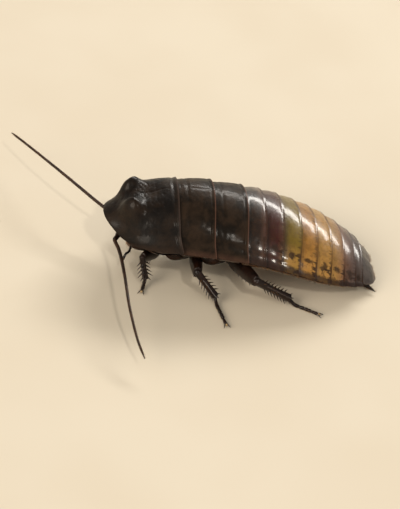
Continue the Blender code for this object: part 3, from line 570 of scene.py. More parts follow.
shoulders = {"mesonotum": (15.95, 22.5), "metanotum": (22.95, 29.5), "columns": 120, "rows": 56, "wall": 0.5,
             "tucked": -0.22, "frontGutter": 0.09, "rim": 0.2, "rimGutter": 0.12, "bead": 0.09, "groove": 0.1,
             "middleLine": 0.08, "wrinkle": 0.035, "swell": 0.03, "scratch": 0.03}


def tuck(f, length):  # how far a plate's front part dips under the plate before it
    return -0.9 * min(1.0, max(0.0, -f * length - 0.4))


def plateBase(span, f, t, arch=0.1):  # station, half-width, height of a plate without its relief
    length = span[1] - span[0]
    s = span[0] + length * f + body["cornerBack"] * abs(t) ** 8
    lift = body["plateStep"] * (max(f, 0.0) - 0.5) + arch * math.sin(math.pi * min(max(f, 0.0), 1.0))
    lift += tuck(f, length)
    at = span[0] + length * f
    return s, halfWidth(at) + lift, backHeight(at) * dome(t) + lift * min(1.0, dome(t) + 0.35)


def shoulderPlace(span):
    look = shoulders

    def place(f, t):
        s, width, height = plateBase(span, f, t)
        x = width * t
        inner = ease(0.97, 0.8, abs(t)) * ease(0.0, 0.08, f)
        height -= look["frontGutter"] * hump(f - 0.2, 0.05) * ease(0.82, 0.6, abs(t))
        height += look["rim"] * hump(1 - abs(t), 0.05) - look["rimGutter"] * hump(0.87 - abs(t), 0.04)
        height += look["bead"] * hump(1 - f, 0.03) - look["groove"] * hump(0.9 - f, 0.03)
        height -= look["middleLine"] * hump(x, 0.25) * ease(0.2, 0.35, f) * ease(0.93, 0.85, f)
        fold = 1 - min(1.0, 2.4 * abs(grain((x * 1.4, s * 0.8, span[0]), 1.3, 4.0)))
        height -= look["wrinkle"] * inner * fold * ease(0.12, 0.4, f) * ease(0.92, 0.8, f)
        height += look["swell"] * inner * grain((x, s, 0), 2.2, 2.0)
        height -= look["scratch"] * inner * ease(0.15, 0.75, grain((x * 2.4, s * 0.5, 0), 0.9, 7.0))
        return bodyPoint(s, x, body["edgeThick"] / 2 + height), (t, f, s)
    return place


for name in ("mesonotum", "metanotum"):
    bm = newShape()
    addSheet(bm, shoulders["columns"], shoulders["rows"], shoulderPlace(shoulders[name]), shoulders["tucked"])
    storePlate(name + "Plate", bm, brownShell, shoulders["wall"], replaced=[name])
print("shoulder plates made")

# Abdomen: back plates and belly plates, each standing over the next

rings = {"starts": (29.95, 33.4, 37.2, 41.2, 45.2, 49.0, 52.6, 55.9),
         "ends": (33.4, 37.2, 41.2, 45.2, 49.0, 52.6, 55.9, 58.0),
         "columns": 128, "rows": 36, "wall": 0.42, "tucked": -0.28, "softEdge": 0.08, "rim": 0.16,
         "rimGutter": 0.1, "bead": 0.07, "groove": 0.06, "ridge": 0.014, "swell": (0.018, 0.008),
         "dimple": 0.06}
ringSpans = list(zip(rings["starts"], rings["ends"]))


def ringPlace(span):
    def place(f, t):
        s, width, height = plateBase(span, f, t, 0.12)
        x = width * t
        inner = ease(0.98, 0.85, abs(t)) * ease(0.0, 0.1, f)
        height += rings["rim"] * hump(1 - abs(t), 0.045) - rings["rimGutter"] * hump(0.9 - abs(t), 0.03)
        height += rings["bead"] * hump(1 - f, 0.03) - rings["groove"] * hump(0.88 - f, 0.04)
        comb = grain((x * 2.2, span[0], 0), 0.55, 6.0)  # fine lengthwise ridges on the hind half
        height += rings["ridge"] * comb * ease(0.45, 0.7, f) * inner
        broad, fine = rings["swell"]
        height += broad * inner * grain((x, s, 0), 2.0, 1.0) + fine * inner * grain((x, s, 0), 0.6, 8.0)
        height -= rings["dimple"] * hump(math.hypot((abs(t) - 0.74) * width, (f - 0.42) * 4.2), 0.4)
        return bodyPoint(s, x, body["edgeThick"] / 2 + height), (t, f, s)
    return place


for number, span in enumerate(ringSpans, 1):
    bm = newShape()
    addSheet(bm, rings["columns"], rings["rows"], ringPlace(span), rings["tucked"])
    storePlate(f"tergite{number}", bm, ringShell, rings["wall"], rings["softEdge"],
               ["abdomen"] if number == 1 else ())
print("back plates made")

belly = {"columns": 72, "rows": 20, "tucked": -0.25, "wall": 0.35, "softEdge": 0.08, "inset": 0.45,
         "step": 0.4, "bead": 0.1, "swell": 0.05, "crease": 0.35}
spiracle = {"behind": 1.5, "inset": 1.15, "below": 1.0, "radius": 0.26, "thick": 0.07}


def bellyPlace(span):
    def place(f, t):
        length = span[1] - span[0]
        lift = belly["step"] * (max(f, 0.0) - 0.5) + tuck(f, length) * 0.7
        at = span[0] + length * f
        half = halfWidth(at) - belly["inset"]
        s = at + body["cornerBack"] * abs(t) ** 8 * 0.6 + 0.5 * (1 - t * t)
        depth = (bellyDepth(at) + lift) * dome(t, 0.6) + belly["bead"] * hump(1 - f, 0.05) * dome(t, 0.3)
        depth += belly["swell"] * grain((half * t, at, 2), 1.8, 4.0) * dome(t, 0.4)
        depth -= belly["crease"] * hump(abs(t) - 0.86, 0.035)  # where belly and side skin meet
        return bodyPoint(s, half * t, -0.12 - depth), (t, f, at)
    return place


bm = newShape()
for span in ringSpans:
    addSheet(bm, belly["columns"], belly["rows"], bellyPlace(span), belly["tucked"])
bmesh.ops.reverse_faces(bm, faces=bm.faces)
storePlate("sternites", bm, bellyShell, belly["wall"], belly["softEdge"])

bm = newShape()
for span in ringSpans:
    for way in (1, -1):
        at = span[0] + spiracle["behind"]
        spot = bodyPoint(at, (halfWidth(at) - spiracle["inset"]) * way, -spiracle["below"])
        addRing(bm, aim(spot, (way, 0.1, -0.9)), spiracle["radius"], spiracle["thick"], 0.65, 16)
        addBlob(bm, spot - Vector((way * 0.1, 0, 0)), (0.2, 0.2, 0.14), columns=10, rows=6)
storePiece("spiracles", bm, [thornShell])
print("belly made")

# Breast and neck under the three front plates

breast = {"inset": ((4.6, 7.6), (7.5, 4.2), (10.5, 2.2), (16, 1.7), (29.5, 1.6)), "foldInset": 1.05,
          "columns": 160, "rows": 96, "start": 5.4, "length": 26.2, "seams": (15.6, 22.7),
          "groove": 0.5, "ripple": 0.16}
breastInset = profile(breast["inset"])


def breastPoint(s, angle):
    c, q = math.cos(angle), math.sin(angle)
    seam = sum(hump(s - at, 0.5) for at in breast["seams"])  # between the three segments
    half = (halfWidth(s) - breastInset(s)) * (1 - 0.04 * seam)
    # a fold of skin along the side reaches up under the plates
    half += (breastInset(s) - breast["foldInset"]) * ease(8.5, 12.5, s) * hump(q - 0.03, 0.13)
    if q >= 0:
        height = (backHeight(s) - 0.9 - 1.5 * hump(s - 9.6, 3.6)) * q ** 1.2  # clear of the hood's hollow
    else:
        height = -0.4 - bellyDepth(s) * abs(q) * (1 - 0.14 * seam)
        height += breast["groove"] * hump(c, 0.1) * ease(0.5, 1.0, -q)  # along the middle
        height += breast["ripple"] * math.sin(s * 1.9 + 3 * c) * ease(0.95, 0.6, abs(c))
    return bodyPoint(s, half * c, height)


bm = newShape()
layer = bm.verts.layers.float_vector["plate"]
made = bmesh.ops.create_grid(bm, x_segments=breast["columns"], y_segments=breast["rows"], size=1)["verts"]
for vert in made:
    share, angle = (vert.co.y + 1) / 2, math.pi * (vert.co.x + 1)
    s = breast["start"] + breast["length"] * share
    shut = min(1.0, (share / 0.06) ** 0.5, ((1 - share) / 0.03) ** 0.5) * (1 - 0.17 * ease(28.8, 30.1, s))
    middle = bodyPoint(s, 0, 1.0)
    vert.co = middle + (breastPoint(s, angle) - middle) * shut
    vert[layer] = (angle, share, s)
bmesh.ops.remove_doubles(bm, verts=made, dist=1e-4)
storePiece("breast", bm, [breastShell], ["thorax"])

head = {"half": Vector((3.9, 2.5, 4.3)), "sink": 5.4, "height": 7.6, "tiltDeg": 22.0,
        "chinSlim": 0.38, "chinFlat": 0.25, "faceFlat": 0.82, "hairs": 150,
        "feelerPit": (1.7, 0.5)}  # the pit's place across and up the face
headCentre = bodyPoint(head["sink"], 0, 0)
headCentre.z = head["height"]
headFrame = Matrix.Translation(headCentre) @ Matrix.Rotation(math.radians(head["tiltDeg"]), 4, "X")
headTurn = headFrame.to_3x3()


def neckRadius(share, angle):
    shut = min(1, (share / 0.08) ** 0.5, ((1 - share) / 0.08) ** 0.5)
    return 2.9 * shut * (1 + 0.06 * math.sin(share * 44))  # seven folds of skin


bm = newShape()
path = smoothPath([headFrame @ Vector((0, 0.4, 0.8)), headFrame @ Vector((0, 2.6, 1.0)),
                   bodyPoint(9.5, 0, 1.2)], 40)
addSleeve(bm, path, neckRadius, 40, 0.85, (1, 0, 0))
storePiece("neckSkin", bm, [softSkin])
print("breast made")

# Head: the skull is an egg, slimmer and flatter towards the chin

def skullHalf(y, z):  # half width and half depth for a point on or inside the unit ball
    chin = max(0.0, -z)
    return (head["half"].x * (1 - head["chinSlim"] * chin ** 1.3),
            head["half"].y * (head["faceFlat"] if y < 0 else 1.0) * (1 - head["chinFlat"] * chin))


def skullPoint(unit):
    x, y, z = unit
    halfX, halfY = skullHalf(y, z)
    px, py, pz = x * halfX, y * halfY, z * head["half"].z
    pitX, pitZ = head["feelerPit"]
    front = ease(0.1, -0.5, y)
    push = 0.22 * hump(pz - 2.1, 0.9) * hump(px, 1.3) * front  # brow
    push -= 0.2 * hump(abs(px) - 1.45, 0.3) * ease(0.4, -0.8, pz) * ease(-2.6, -1.6, pz) * front
    push -= 0.26 * hump(pz + 1.55 + 0.12 * px * px, 0.16) * ease(2.4, 1.9, abs(px)) * front  # lip suture
    push -= 0.3 * hump(math.hypot(abs(px) - pitX, pz - pitZ), 0.62) * front
    push -= 0.11 * hump(px, 0.14) * ease(1.5, 2.0, pz)  # crown seam, forking above the feelers
    push -= 0.09 * hump(pz - 1.62 + 0.55 * abs(px), 0.13) * ease(1.35, 0.95, abs(px)) * front
    push += 0.2 * hump(pz + 1.0, 0.8) * hump(abs(px) - 2.9, 0.8)  # cheek
    push += 0.04 * grain((px, py, pz), 0.8, 2.0)
    return Vector((px, py, pz)) + Vector((x, y, z * 0.4)).normalized() * push


bm = newShape()
for vert in bmesh.ops.create_uvsphere(bm, u_segments=180, v_segments=130, radius=1)["verts"]:
    vert.co = headFrame @ skullPoint(vert.co.normalized())
start = len(bm.faces)
rng = random.Random(8)
for _ in range(head["hairs"]):  # short hairs on the face and cheeks
    z = rng.uniform(-0.75, 0.75)
    turn = rng.uniform(-2.9, -0.24)
    unit = Vector((math.cos(turn) * math.sqrt(1 - z * z), math.sin(turn) * math.sqrt(1 - z * z), z))
    out = headTurn @ unit + Vector((0, 0, -0.9))
    addBristle(bm, headFrame @ skullPoint(unit), out, rng.uniform(0.18, 0.32), 0.018)
paintFrom(bm, start, 1)
storePiece("headCapsule", bm, [blackShell, bristleHair], ["head"])

lips = {"paleBelow": -2.8, "notch": 0.22, "hairs": 26, "hairLength": 0.5}

bm = newShape()
upper = addBlob(bm, (0, 0, 0), (1, 1, 1), columns=40, rows=30)  # clypeus: dark above, pale below
for vert in upper:
    x, y, z = vert.co
    square = 1.12 - 0.12 * abs(x * z)
    vert.co = headFrame @ Vector((x * square * (1.5 - 0.16 * (1 - z)), -1.14 + y * 0.8 * (1 - 0.1 * x * x),
                                  -2.42 + z * 1.2))
lip = addBlob(bm, (0, 0, 0), (1, 1, 1), columns=36, rows=26)  # labrum with its shallow notch
for vert in lip:
    x, y, z = vert.co
    drop = -3.95 + z * (1.12 - lips["notch"] * hump(x, 0.3) * (z < 0))
    vert.co = headFrame @ Vector((x * 1.32, -0.98 + y * 0.62 - 0.1 * z, drop))
paintFaces(lip, 1)
fromHead = headFrame.inverted()
for face in {face for vert in upper for face in vert.link_faces}:
    if (fromHead @ face.calc_center_median()).z < lips["paleBelow"]:
        face.material_index = 1
start = len(bm.faces)
rng = random.Random(4)
for _ in range(lips["hairs"]):
    x, z = rng.uniform(-1.2, 1.2), rng.uniform(-4.7, -3.4)
    addBristle(bm, headFrame @ Vector((x, -1.5, z)), headTurn @ Vector((x * 0.3, -0.7, -1.0)),
               lips["hairLength"], 0.025)
paintFrom(bm, start, 2)
storePiece("faceLips", bm, [blackShell, mouthShell, bristleHair])

jaws = (((1.5, -0.3, -3.4), (0.9, 1.1, 1.4)), ((1.25, 0.7, -3.5), (0.85, 0.7, 1.2)),
        ((0.55, 1.0, -3.7), (0.6, 0.5, 0.95)))  # centre and half size of each lobe on the left

bm = newShape()
for way in (1, -1):
    for (x, y, z), half in jaws:
        for vert in addBlob(bm, (x * way, y, z), half, columns=28, rows=20):
            vert.co += vert.co.normalized() * 0.04 * grain(vert.co, 0.5, 1.0)
            vert.co = headFrame @ vert.co
storePiece("jaws", bm, [mouthShell])

palps = {
    "lip": {"joints": ((0.8, 0.6, -3.6), (1.3, 0.2, -4.3), (1.5, -0.5, -4.8), (1.2, -1.1, -5.0)),
            "sizes": (0.3, 0.28, 0.26), "hairs": 6, "seed": 20},
    "jaw": {"joints": ((2.0, -0.2, -3.0), (2.7, -0.6, -3.55), (3.9, -1.1, -3.8), (5.0, -1.8, -3.3),
                       (5.7, -3.1, -4.6)),
            "sizes": (0.34, 0.3, 0.32, 0.36), "hairs": 10, "seed": 30},
}


def addPalp(bm, palp, way):  # segments swollen towards their outer ends
    rng = random.Random(palp["seed"] + way)
    points = [headFrame @ Vector((x * way, y, z)) for x, y, z in palp["joints"]]
    for a, b, swell in zip(points, points[1:], palp["sizes"]):
        last = b is points[-1]

        def radius(share, angle):
            taper = 1.12 - 0.3 * share if last else 1.0
            return swell * (0.7 + 0.38 * share) * taper * capsule(share, 3.2 if last else 6)

        addSleeve(bm, straight(a - (b - a) * 0.06, b + (b - a) * 0.04, 22), radius, 16, 0.9)
        along = (b - a).normalized()
        basis = aim(a, b - a).to_3x3()
        for _ in range(palp["hairs"]):
            turn, share = rng.uniform(0, 6.28), rng.uniform(0.15, 1.0)
            out = basis @ Vector((math.cos(turn), math.sin(turn), 0))
            addBristle(bm, a.lerp(b, share) + out * swell * 0.75, out + along * 0.8, 0.3)


bm = newShape()
for way in (1, -1):
    addPalp(bm, palps["lip"], way)
storePiece("lipPalps", bm, [legShell])

eyes = {"half": (1.15, 1.3, 2.0), "place": (3.1, -0.5, 1.7), "turnDeg": 14, "dent": 0.16, "rimThick": 0.1}
sides = (("left", 1), ("right", -1))


def eyePlace(way):
    x, y, z = eyes["place"]
    turn = Matrix.Rotation(math.radians(eyes["turnDeg"] * way), 4, "Y")
    return Matrix.Translation((x * way, y, z)) @ turn


for side, way in sides:
    bm = newShape()
    addPalp(bm, palps["jaw"], way)
    storePiece(f"jawPalp{side.title()}", bm, [legShell], [f"palp_{side}"])

    bm = newShape()  # kidney-shaped eye of small domed lenses
    peaks = set(bmesh.ops.create_icosphere(bm, subdivisions=5, radius=1)["verts"])
    bmesh.ops.subdivide_edges(bm, edges=bm.edges[:], cuts=1, use_grid_fill=True)
    for vert in bm.verts:
        unit = vert.co.normalized()
        bulge = 1.0 if vert in peaks else 0.985
        dent = 1 - eyes["dent"] * hump(unit.z + 0.1, 0.45) * ease(0.2, 0.9, -unit.x * way)
        vert.co = Vector([a * b for a, b in zip(unit, eyes["half"])]) * bulge * dent
    bmesh.ops.transform(bm, verts=bm.verts, matrix=headFrame @ eyePlace(way))
    storePiece(f"eye{side.title()}Facets", bm, [eyeLens], [f"eye_{side}"])


def inSkull(point):
    z = point.z / head["half"].z
    halfX, halfY = skullHalf(point.y, z)
    return (point.x / halfX) ** 2 + (point.y / halfY) ** 2 + z * z < 1


bm = newShape()  # a narrow brown rim where each eye meets the head
halfX, halfY, halfZ = eyes["half"]
for way in (1, -1):
    place = eyePlace(way)
    rim = []
    for k in range(65):
        turn = 2 * math.pi * k / 64
        for step in range(90):  # from the eye's outer pole inwards, until the skull is met
            lean = math.pi * step / 90
            spot = place @ Vector((halfX * way * math.cos(lean), halfY * math.sin(lean) * math.cos(turn),
                                   halfZ * math.sin(lean) * math.sin(turn)))
            if inSkull(spot):
                break
        rim.append(headFrame @ spot)
    addSleeve(bm, rim, lambda share, angle: eyes["rimThick"], 10, 1.0, headTurn @ Vector((1, 0, 0)))
storePiece("eyeRims", bm, [legShell])

bm = newShape()
for way in (1, -1):
    pitX, pitZ = head["feelerPit"]
    place = headFrame @ aim((pitX * way, -1.72, pitZ), (0.25 * way, -1, 0.05), (0, 0, 1))
    paintFaces(addRing(bm, place, 0.72, 0.17, 0.92, 32), 0)
    paintFaces(addBlob(bm, (0, 0, -0.1), (0.62, 0.58, 0.2), place, columns=20, rows=10), 1)
    paintFaces(addBlob(bm, (1.12 * way, -1.93, 1.45), (0.36, 0.16, 0.3), headFrame, columns=20, rows=12), 2)
storePiece("feelerSockets", bm, [blackShell, softSkin, paleSpot])
print("head made")

# Feelers: two thick joints and a whip of short rings, each with a crown of bristles

feelers = {
    "left": ((4.6, -27.3, 7.1), (9.0, -26.4, 7.3), (17.0, -25.8, 7.5), (26.0, -25.2, 6.8),
             (33.5, -23.8, 5.0), (38.0, -22.3, 3.6)),
    "right": ((-4.6, -27.3, 7.1), (-8.2, -31.6, 8.2), (-13.4, -36.4, 8.9), (-20.4, -41.8, 8.8),
              (-28.2, -46.6, 7.6), (-33.4, -49.2, 6.2)),
    "thick": 0.42, "thin": 0.26, "tip": 0.12, "ringLength": 0.42, "rowsPerRing": 5,
    "bristlesPerRing": 5, "bristleTurn": 1.2566,  # in radians, a fifth of a turn
}


def whipSize(share):
    return feelers["thick"] + (feelers["thin"] - feelers["thick"]) * share ** 0.8


def makeFeeler(side, way):
    points = [Vector(point) for point in feelers[side]]
    pitX, pitZ = head["feelerPit"]
    socket = headFrame @ Vector((pitX * way, -1.75, pitZ))
    scapeEnd = socket.lerp(points[0], 0.62)
    bm = newShape()
    addSleeve(bm, straight(socket, scapeEnd, 24), lambda share, angle: (
        0.5 + 0.2 * math.sin(math.pi * min(share * 1.2, 1))) * capsule(share, 8), 24)
    addSleeve(bm, straight(scapeEnd.lerp(socket, 0.08), points[0], 18),
              lambda share, angle: 0.53 * capsule(share, 5), 24)
    storePiece(f"feelerBase{side.title()}", bm, [legShell], [f"antenna_{side}_base"])

    rowsPerRing = feelers["rowsPerRing"]
    length = sum((b - a).length for a, b in zip(points, points[1:]))
    ringCount = round(length / feelers["ringLength"])
    path = smoothPath(feelers[side], ringCount * rowsPerRing)

    def whipRadius(share, angle):
        if share <= 0 or share >= 1:
            return 0.0
        size = whipSize(share) + (feelers["tip"] - feelers["thin"]) * ease(0.93, 1.0, share)
        return size * (0.86 + 0.14 * math.sin(math.pi * (share * ringCount % 1.0)) ** 0.6)

    bm = newShape()
    addSleeve(bm, path, whipRadius, 12)
    start = len(bm.faces)
    rng = random.Random(50 + way)
    for i in range(2, ringCount):
        root = path[i * rowsPerRing - 1]
        along = (path[min(i * rowsPerRing + 2, len(path) - 1)] - root).normalized()
        basis = aim(root, along).to_3x3()
        for k in range(feelers["bristlesPerRing"]):
            turn = feelers["bristleTurn"] * k + rng.uniform(-0.4, 0.4)
            out = basis @ Vector((math.cos(turn), math.sin(turn), 0))
            addBristle(bm, root + out * whipSize(i / ringCount) * 0.8, out + along * 0.9,
                       rng.uniform(0.3, 0.45))
    paintFrom(bm, start, 1)
    storePiece(f"feelerWhip{side.title()}", bm, [feelerShell, bristleHair],
               [f"antenna_{side}_whip"])


for side, way in sides:
    makeFeeler(side, way)
print("feelers made")

# Legs

legSizes = {  # the hip's root, its tip and the thigh's start on the left; radii; thorns in a row of the shin
    "fore": {"hip": ((5.9, -22.6, 7.4), (3.3, -18.2, 4.7), (3.0, -17.2, 3.8)),
             "coxa": 1.8, "femur": 1.6, "tibia": 0.78, "thorns": 4},
    "mid": {"hip": ((8.4, -15.0, 7.4), (3.8, -10.4, 4.7), (3.2, -9.0, 3.8)),
            "coxa": 2.2, "femur": 2.0, "tibia": 0.88, "thorns": 5},
    "hind": {"hip": ((9.2, -7.2, 7.6), (4.2, -2.6, 4.7), (3.6, -1.2, 3.9)),
             "coxa": 2.4, "femur": 2.0, "tibia": 0.92, "thorns": 7},
}
stance = {  # knee, ankle and toe
    "fore_left": ((8.3, -21.3, 5.9), (10.0, -20.1, 1.5), (12.9, -20.9, 0.42)),
    "mid_left": ((12.8, -9.7, 6.4), (14.3, -5.2, 1.5), (21.9, -3.4, 0.42)),
    "hind_left": ((14.6, 3.0, 6.6), (13.4, 11.2, 1.6), (16.6, 17.4, 0.42)),
    "fore_right": ((-9.4, -19.4, 6.0), (-11.8, -22.4, 1.5), (-15.4, -25.8, 0.42)),
    "mid_right": ((-13.2, -8.4, 6.4), (-17.4, -3.4, 1.5), (-24.2, -0.4, 0.42)),
    "hind_right": ((-14.4, 4.0, 6.6), (-16.6, 12.4, 1.6), (-20.8, 18.8, 0.42)),
}
legForm = {"thighHairs": 34, "shinHairs": 46, "footHairs": 46, "thighThorns": 4, "spurs": 5,
           "thornTurns": (35, 145, 215, 325), "thornLength": 1.25, "footRows": 80}
hipJoint = profile(((0, 0), (0.03, 0.55), (0.3, 1.0), (0.6, 0.92), (0.85, 0.6), (0.97, 0.38), (1, 0)))
thigh = profile(((0, 0), (0.04, 0.5), (0.14, 0.78), (0.36, 1.0), (0.65, 0.86), (0.88, 0.66), (0.97, 0.58),
                 (1, 0)))
shin = profile(((0, 0), (0.04, 0.7), (0.14, 0.98), (0.5, 0.86), (0.9, 1.06), (0.98, 0.9), (1, 0)))
toeRings = (0.0, 0.42, 0.57, 0.69, 0.78, 1.0)  # ends of the foot's five joints, as shares of its length
up = Vector((0, 0, 1))


def footRadius(share, angle):
    if share in (0.0, 1.0):
        return 0.0
    a, b = next(pair for pair in zip(toeRings, toeRings[1:]) if share <= pair[1] + 1e-6)
    u = (share - a) / (b - a)
    base = 0.34 + 0.13 * u if b < 1.0 else 0.27 + 0.14 * u
    return base * (0.62 + 0.38 * capsule(u, 6))


def makeLeg(name):
    place, side = name.split("_")
    size = legSizes[place]
    way = 1 if side == "left" else -1
    title = f"leg{place.title()}{side.title()}"
    rng = random.Random(name)
    root, apex, hip = (Vector((x * way, y, z)) for x, y, z in size["hip"])
    knee, ankle, toe = (Vector(point) for point in stance[name])

    bm = newShape()  # coxa: a broad flat cone with a keel and a groove for the thigh
    axis = (apex - root).normalized()
    addSleeve(bm, straight(root - axis * 0.4, apex, 36),
              lambda share, angle: size["coxa"] * hipJoint(share) * (1 + 0.05 * math.cos(2 * angle)
              - 0.1 * hump(math.sin(angle) - 0.6, 0.3) * math.sin(math.pi * share)), 40, 0.66, (0, 1, 0))
    addRing(bm, aim(apex - axis * 0.25, axis), size["coxa"] * 0.36, 0.13, 1.0, 20)
    storePiece(title + "Coxa", bm, [hipShell], [f"leg_{name}_coxa"])

    bm = newShape()  # trochanter and thigh, with thorns along both lower edges
    axis = (knee - hip).normalized()
    under = (-up + axis * axis.z).normalized()
    aside = axis.cross(under)
    addSleeve(bm, straight(apex.lerp(hip, 0.4), hip + axis * 1.7, 20),
              lambda share, angle: 0.66 * size["femur"] * capsule(share, 3), 24, 0.8, up)
    addSleeve(bm, straight(hip, knee, 40),
              lambda share, angle: size["femur"] * thigh(share)
              * (1 - 0.1 * hump(math.cos(angle) + 1, 0.12) * ease(0.2, 0.4, share)
                 + 0.03 * hump(abs(math.cos(angle)) - 0.8, 0.15)), 32, 0.7, up)
    thorns = []
    for row in (1, -1):
        for k in range(legForm["thighThorns"]):
            share = 0.4 + 0.14 * k + 0.03 * row
            start = hip.lerp(knee, share) + under * 0.72 * size["femur"] * thigh(share) + aside * row * 0.3
            thorns += addSpine(bm, start, under + axis * 0.7 + aside * row * 0.3, 1.0, 0.14, axis * 0.12)
    thorns += addSpine(bm, hip.lerp(knee, 0.95) + under * 0.3, under * 0.8 + axis, 1.1, 0.15)
    paintFaces(thorns, 1)
    addBlob(bm, knee - axis * 0.25, (size["tibia"] * 0.95,) * 3, columns=20, rows=14)
    count = len(bm.faces)
    basis = aim(hip, axis, up).to_3x3()
    for _ in range(legForm["thighHairs"]):
        share, turn = rng.uniform(0.12, 0.95), rng.uniform(0, 6.28)
        out = basis @ Vector((math.cos(turn), math.sin(turn) * 0.7, 0))
        addBristle(bm, hip.lerp(knee, share) + out * size["femur"] * thigh(share) * 0.96,
                   out + axis * 0.9, rng.uniform(0.25, 0.45))
    paintFrom(bm, count, 2)
    storePiece(title + "Femur", bm, [legShell, thornShell, bristleHair],
               [f"leg_{name}_femur"])

    bm = newShape()  # shin: four rows of thorns and a crown of spurs at the ankle
    axis = (ankle - knee).normalized()
    addSleeve(bm, straight(knee - axis * 0.35, ankle, 40),
              lambda share, angle: size["tibia"] * shin(share) * (1 + 0.06 * math.cos(4 * angle)),
              28, 0.85, up)
    first = axis.cross(up).normalized()
    second = axis.cross(first)
    thorns = []
    for row, turnDeg in enumerate(legForm["thornTurns"]):
        radial = first * math.cos(math.radians(turnDeg)) + second * math.sin(math.radians(turnDeg))
        for k in range(size["thorns"]):
            share = 0.24 + 0.68 * (k + 0.45 * (row % 2)) / size["thorns"]
            start = knee.lerp(ankle, share) + radial * size["tibia"] * 0.72
            length = legForm["thornLength"] * (0.85 + 0.3 * share)
            if (start + (radial * 0.8 + axis * 0.62) * length).z > 0.2:  # clear of the floor
                thorns += addSpine(bm, start, radial * 0.8 + axis * 0.55, length, 0.16, axis * 0.12)
    for k in range(legForm["spurs"]):
        turn = 2 * math.pi * (k + 0.3) / legForm["spurs"]
        radial = first * math.cos(turn) + second * math.sin(turn)
        start = ankle - axis * 0.3 + radial * size["tibia"] * 0.7
        if start.z + (radial * 0.75 + axis * 0.8).z > 0.15:
            thorns += addSpine(bm, start, radial * 0.75 + axis * 0.8, 1.0, 0.15)
    paintFaces(thorns, 1)
    count = len(bm.faces)
    for _ in range(legForm["shinHairs"]):
        share, turn = rng.uniform(0.08, 0.97), rng.uniform(0, 6.28)
        radial = first * math.cos(turn) + second * math.sin(turn)
        addBristle(bm, knee.lerp(ankle, share) + radial * size["tibia"] * 0.8, radial + axis,
                   rng.uniform(0.25, 0.5))
    paintFrom(bm, count, 2)
    storePiece(title + "Tibia", bm, [legShell, thornShell, bristleHair],
               [f"leg_{name}_tibia"])

    bm = newShape()  # foot: five joints, pale pads under the short ones, two claws and their pad
    outward = Vector((toe.x - ankle.x, toe.y - ankle.y, 0)).normalized()
    aside = outward.cross(up)
    heel = ankle + outward * 1.6
    heel.z = toe.z + 0.1
    rows = legForm["footRows"]
    path = smoothPath([ankle - (heel - ankle) * 0.1, heel, heel.lerp(toe, 0.5), toe], rows)
    addSleeve(bm, path, footRadius, 18, 0.92)
    pads = []
    for share in toeRings[1:5]:
        spot = path[round(share * rows) - 3].copy()
        spot.z = max(spot.z - 0.22, 0.16)
        pads += addBlob(bm, spot, (0.34, 0.34, 0.2), columns=16, rows=10)
    pads += addBlob(bm, toe + outward * 0.35 + up * 0.05, (0.3, 0.3, 0.22), columns=16, rows=10)
    claws = []
    for half in (1, -1):
        claws += addSpine(bm, toe + aside * half * 0.14, outward * 0.85 + aside * half * 0.5 + up * 0.25,
                          1.25, 0.17, outward * 0.1 - up * 0.42)
    paintFaces(claws, 1)
    paintFaces(pads, 2)
    count = len(bm.faces)
    for _ in range(legForm["footHairs"]):
        i, turn = rng.randrange(6, rows - 4), rng.uniform(0, 6.28)
        along = (path[i + 2] - path[i]).normalized()
        out = aim(path[i], along, up).to_3x3() @ Vector((math.cos(turn), math.sin(turn), 0))
        if path[i].z + out.z * 0.5 > 0.1:
            addBristle(bm, path[i] + out * 0.34, out + along * 1.1, rng.uniform(0.25, 0.4), 0.02)
    paintFrom(bm, count, 3)
    for vert in bm.verts:
        vert.co.z = max(vert.co.z, 0.0)
    storePiece(title + "Tarsus", bm, [legShell, thornShell, footPad, bristleHair],
               [f"leg_{name}_tarsus"])


for name in stance:
    makeLeg(name)
print("legs made")

# Tail: notched end plate, genital plate and the cerci

tail = {"start": 58.0, "end": 63.0, "columns": 72, "rows": 40, "wall": 0.4, "frontTuck": 0.5,
        "half": ((57.4, 8.6), (58.45, 8.2), (60.2, 7.7), (61.9, 6.4), (63.0, 4.4)),
        "up": ((57.4, 3.0), (58.45, 2.6), (60.2, 2.1), (61.9, 1.5), (63.0, 0.8)),
        "bow": 0.7, "notch": 0.35, "bead": 0.12, "rim": 0.1, "furrow": 0.16, "swell": 0.04}
lowerPlate = {"columns": 56, "rows": 24, "wall": 0.35, "start": 56.8, "length": 5.2, "inset": 1.6}
cercus = {"joints": 9, "rows": 72, "hairs": 90}
tailHalf, tailUp = profile(tail["half"]), profile(tail["up"])


def endPlatePlace(f, t):
    s = tail["start"] - tail["frontTuck"] + (tail["end"] - tail["start"] + tail["frontTuck"]) * f
    cut = tail["bow"] * (1 - t * t) * f + tail["notch"] * hump(t, 0.14) * ease(0.7, 1.0, f)
    height = tailUp(s) * dome(t) + tail["bead"] * hump(1 - f, 0.06) + tail["rim"] * hump(1 - abs(t), 0.05)
    height -= tail["furrow"] * hump(t, 0.12) * ease(0.2, 0.7, f)
    height += tail["swell"] * grain((tailHalf(s) * t, s, 0), 0.9, 3.0)
    return bodyPoint(s - cut, tailHalf(s) * t, 0.15 + height), (t, f, s)


def lowerPlatePlace(f, t):
    s = lowerPlate["start"] + lowerPlate["length"] * f
    half = (halfWidth(s) - lowerPlate["inset"]) * (1 - 0.35 * f * f)
    depth = (bellyDepth(s) + 0.25) * dome(t, 0.6) * (1 - 0.25 * f)
    return bodyPoint(s - 0.9 * t * t * f, half * t, -0.2 - depth), (t, f, s)


def cercusRadius(share, angle):
    shape = 0.42 + 0.28 * math.sin(math.pi * min(1.0, share * 0.9 + 0.15)) - 0.34 * share ** 2.2
    shut = math.sqrt(min(1.0, share / 0.04, (1 - share) / 0.05)) if 0 < share < 1 else 0.0
    return shape * (0.88 + 0.12 * math.sin(math.pi * (share * cercus["joints"] % 1.0)) ** 0.7) * shut


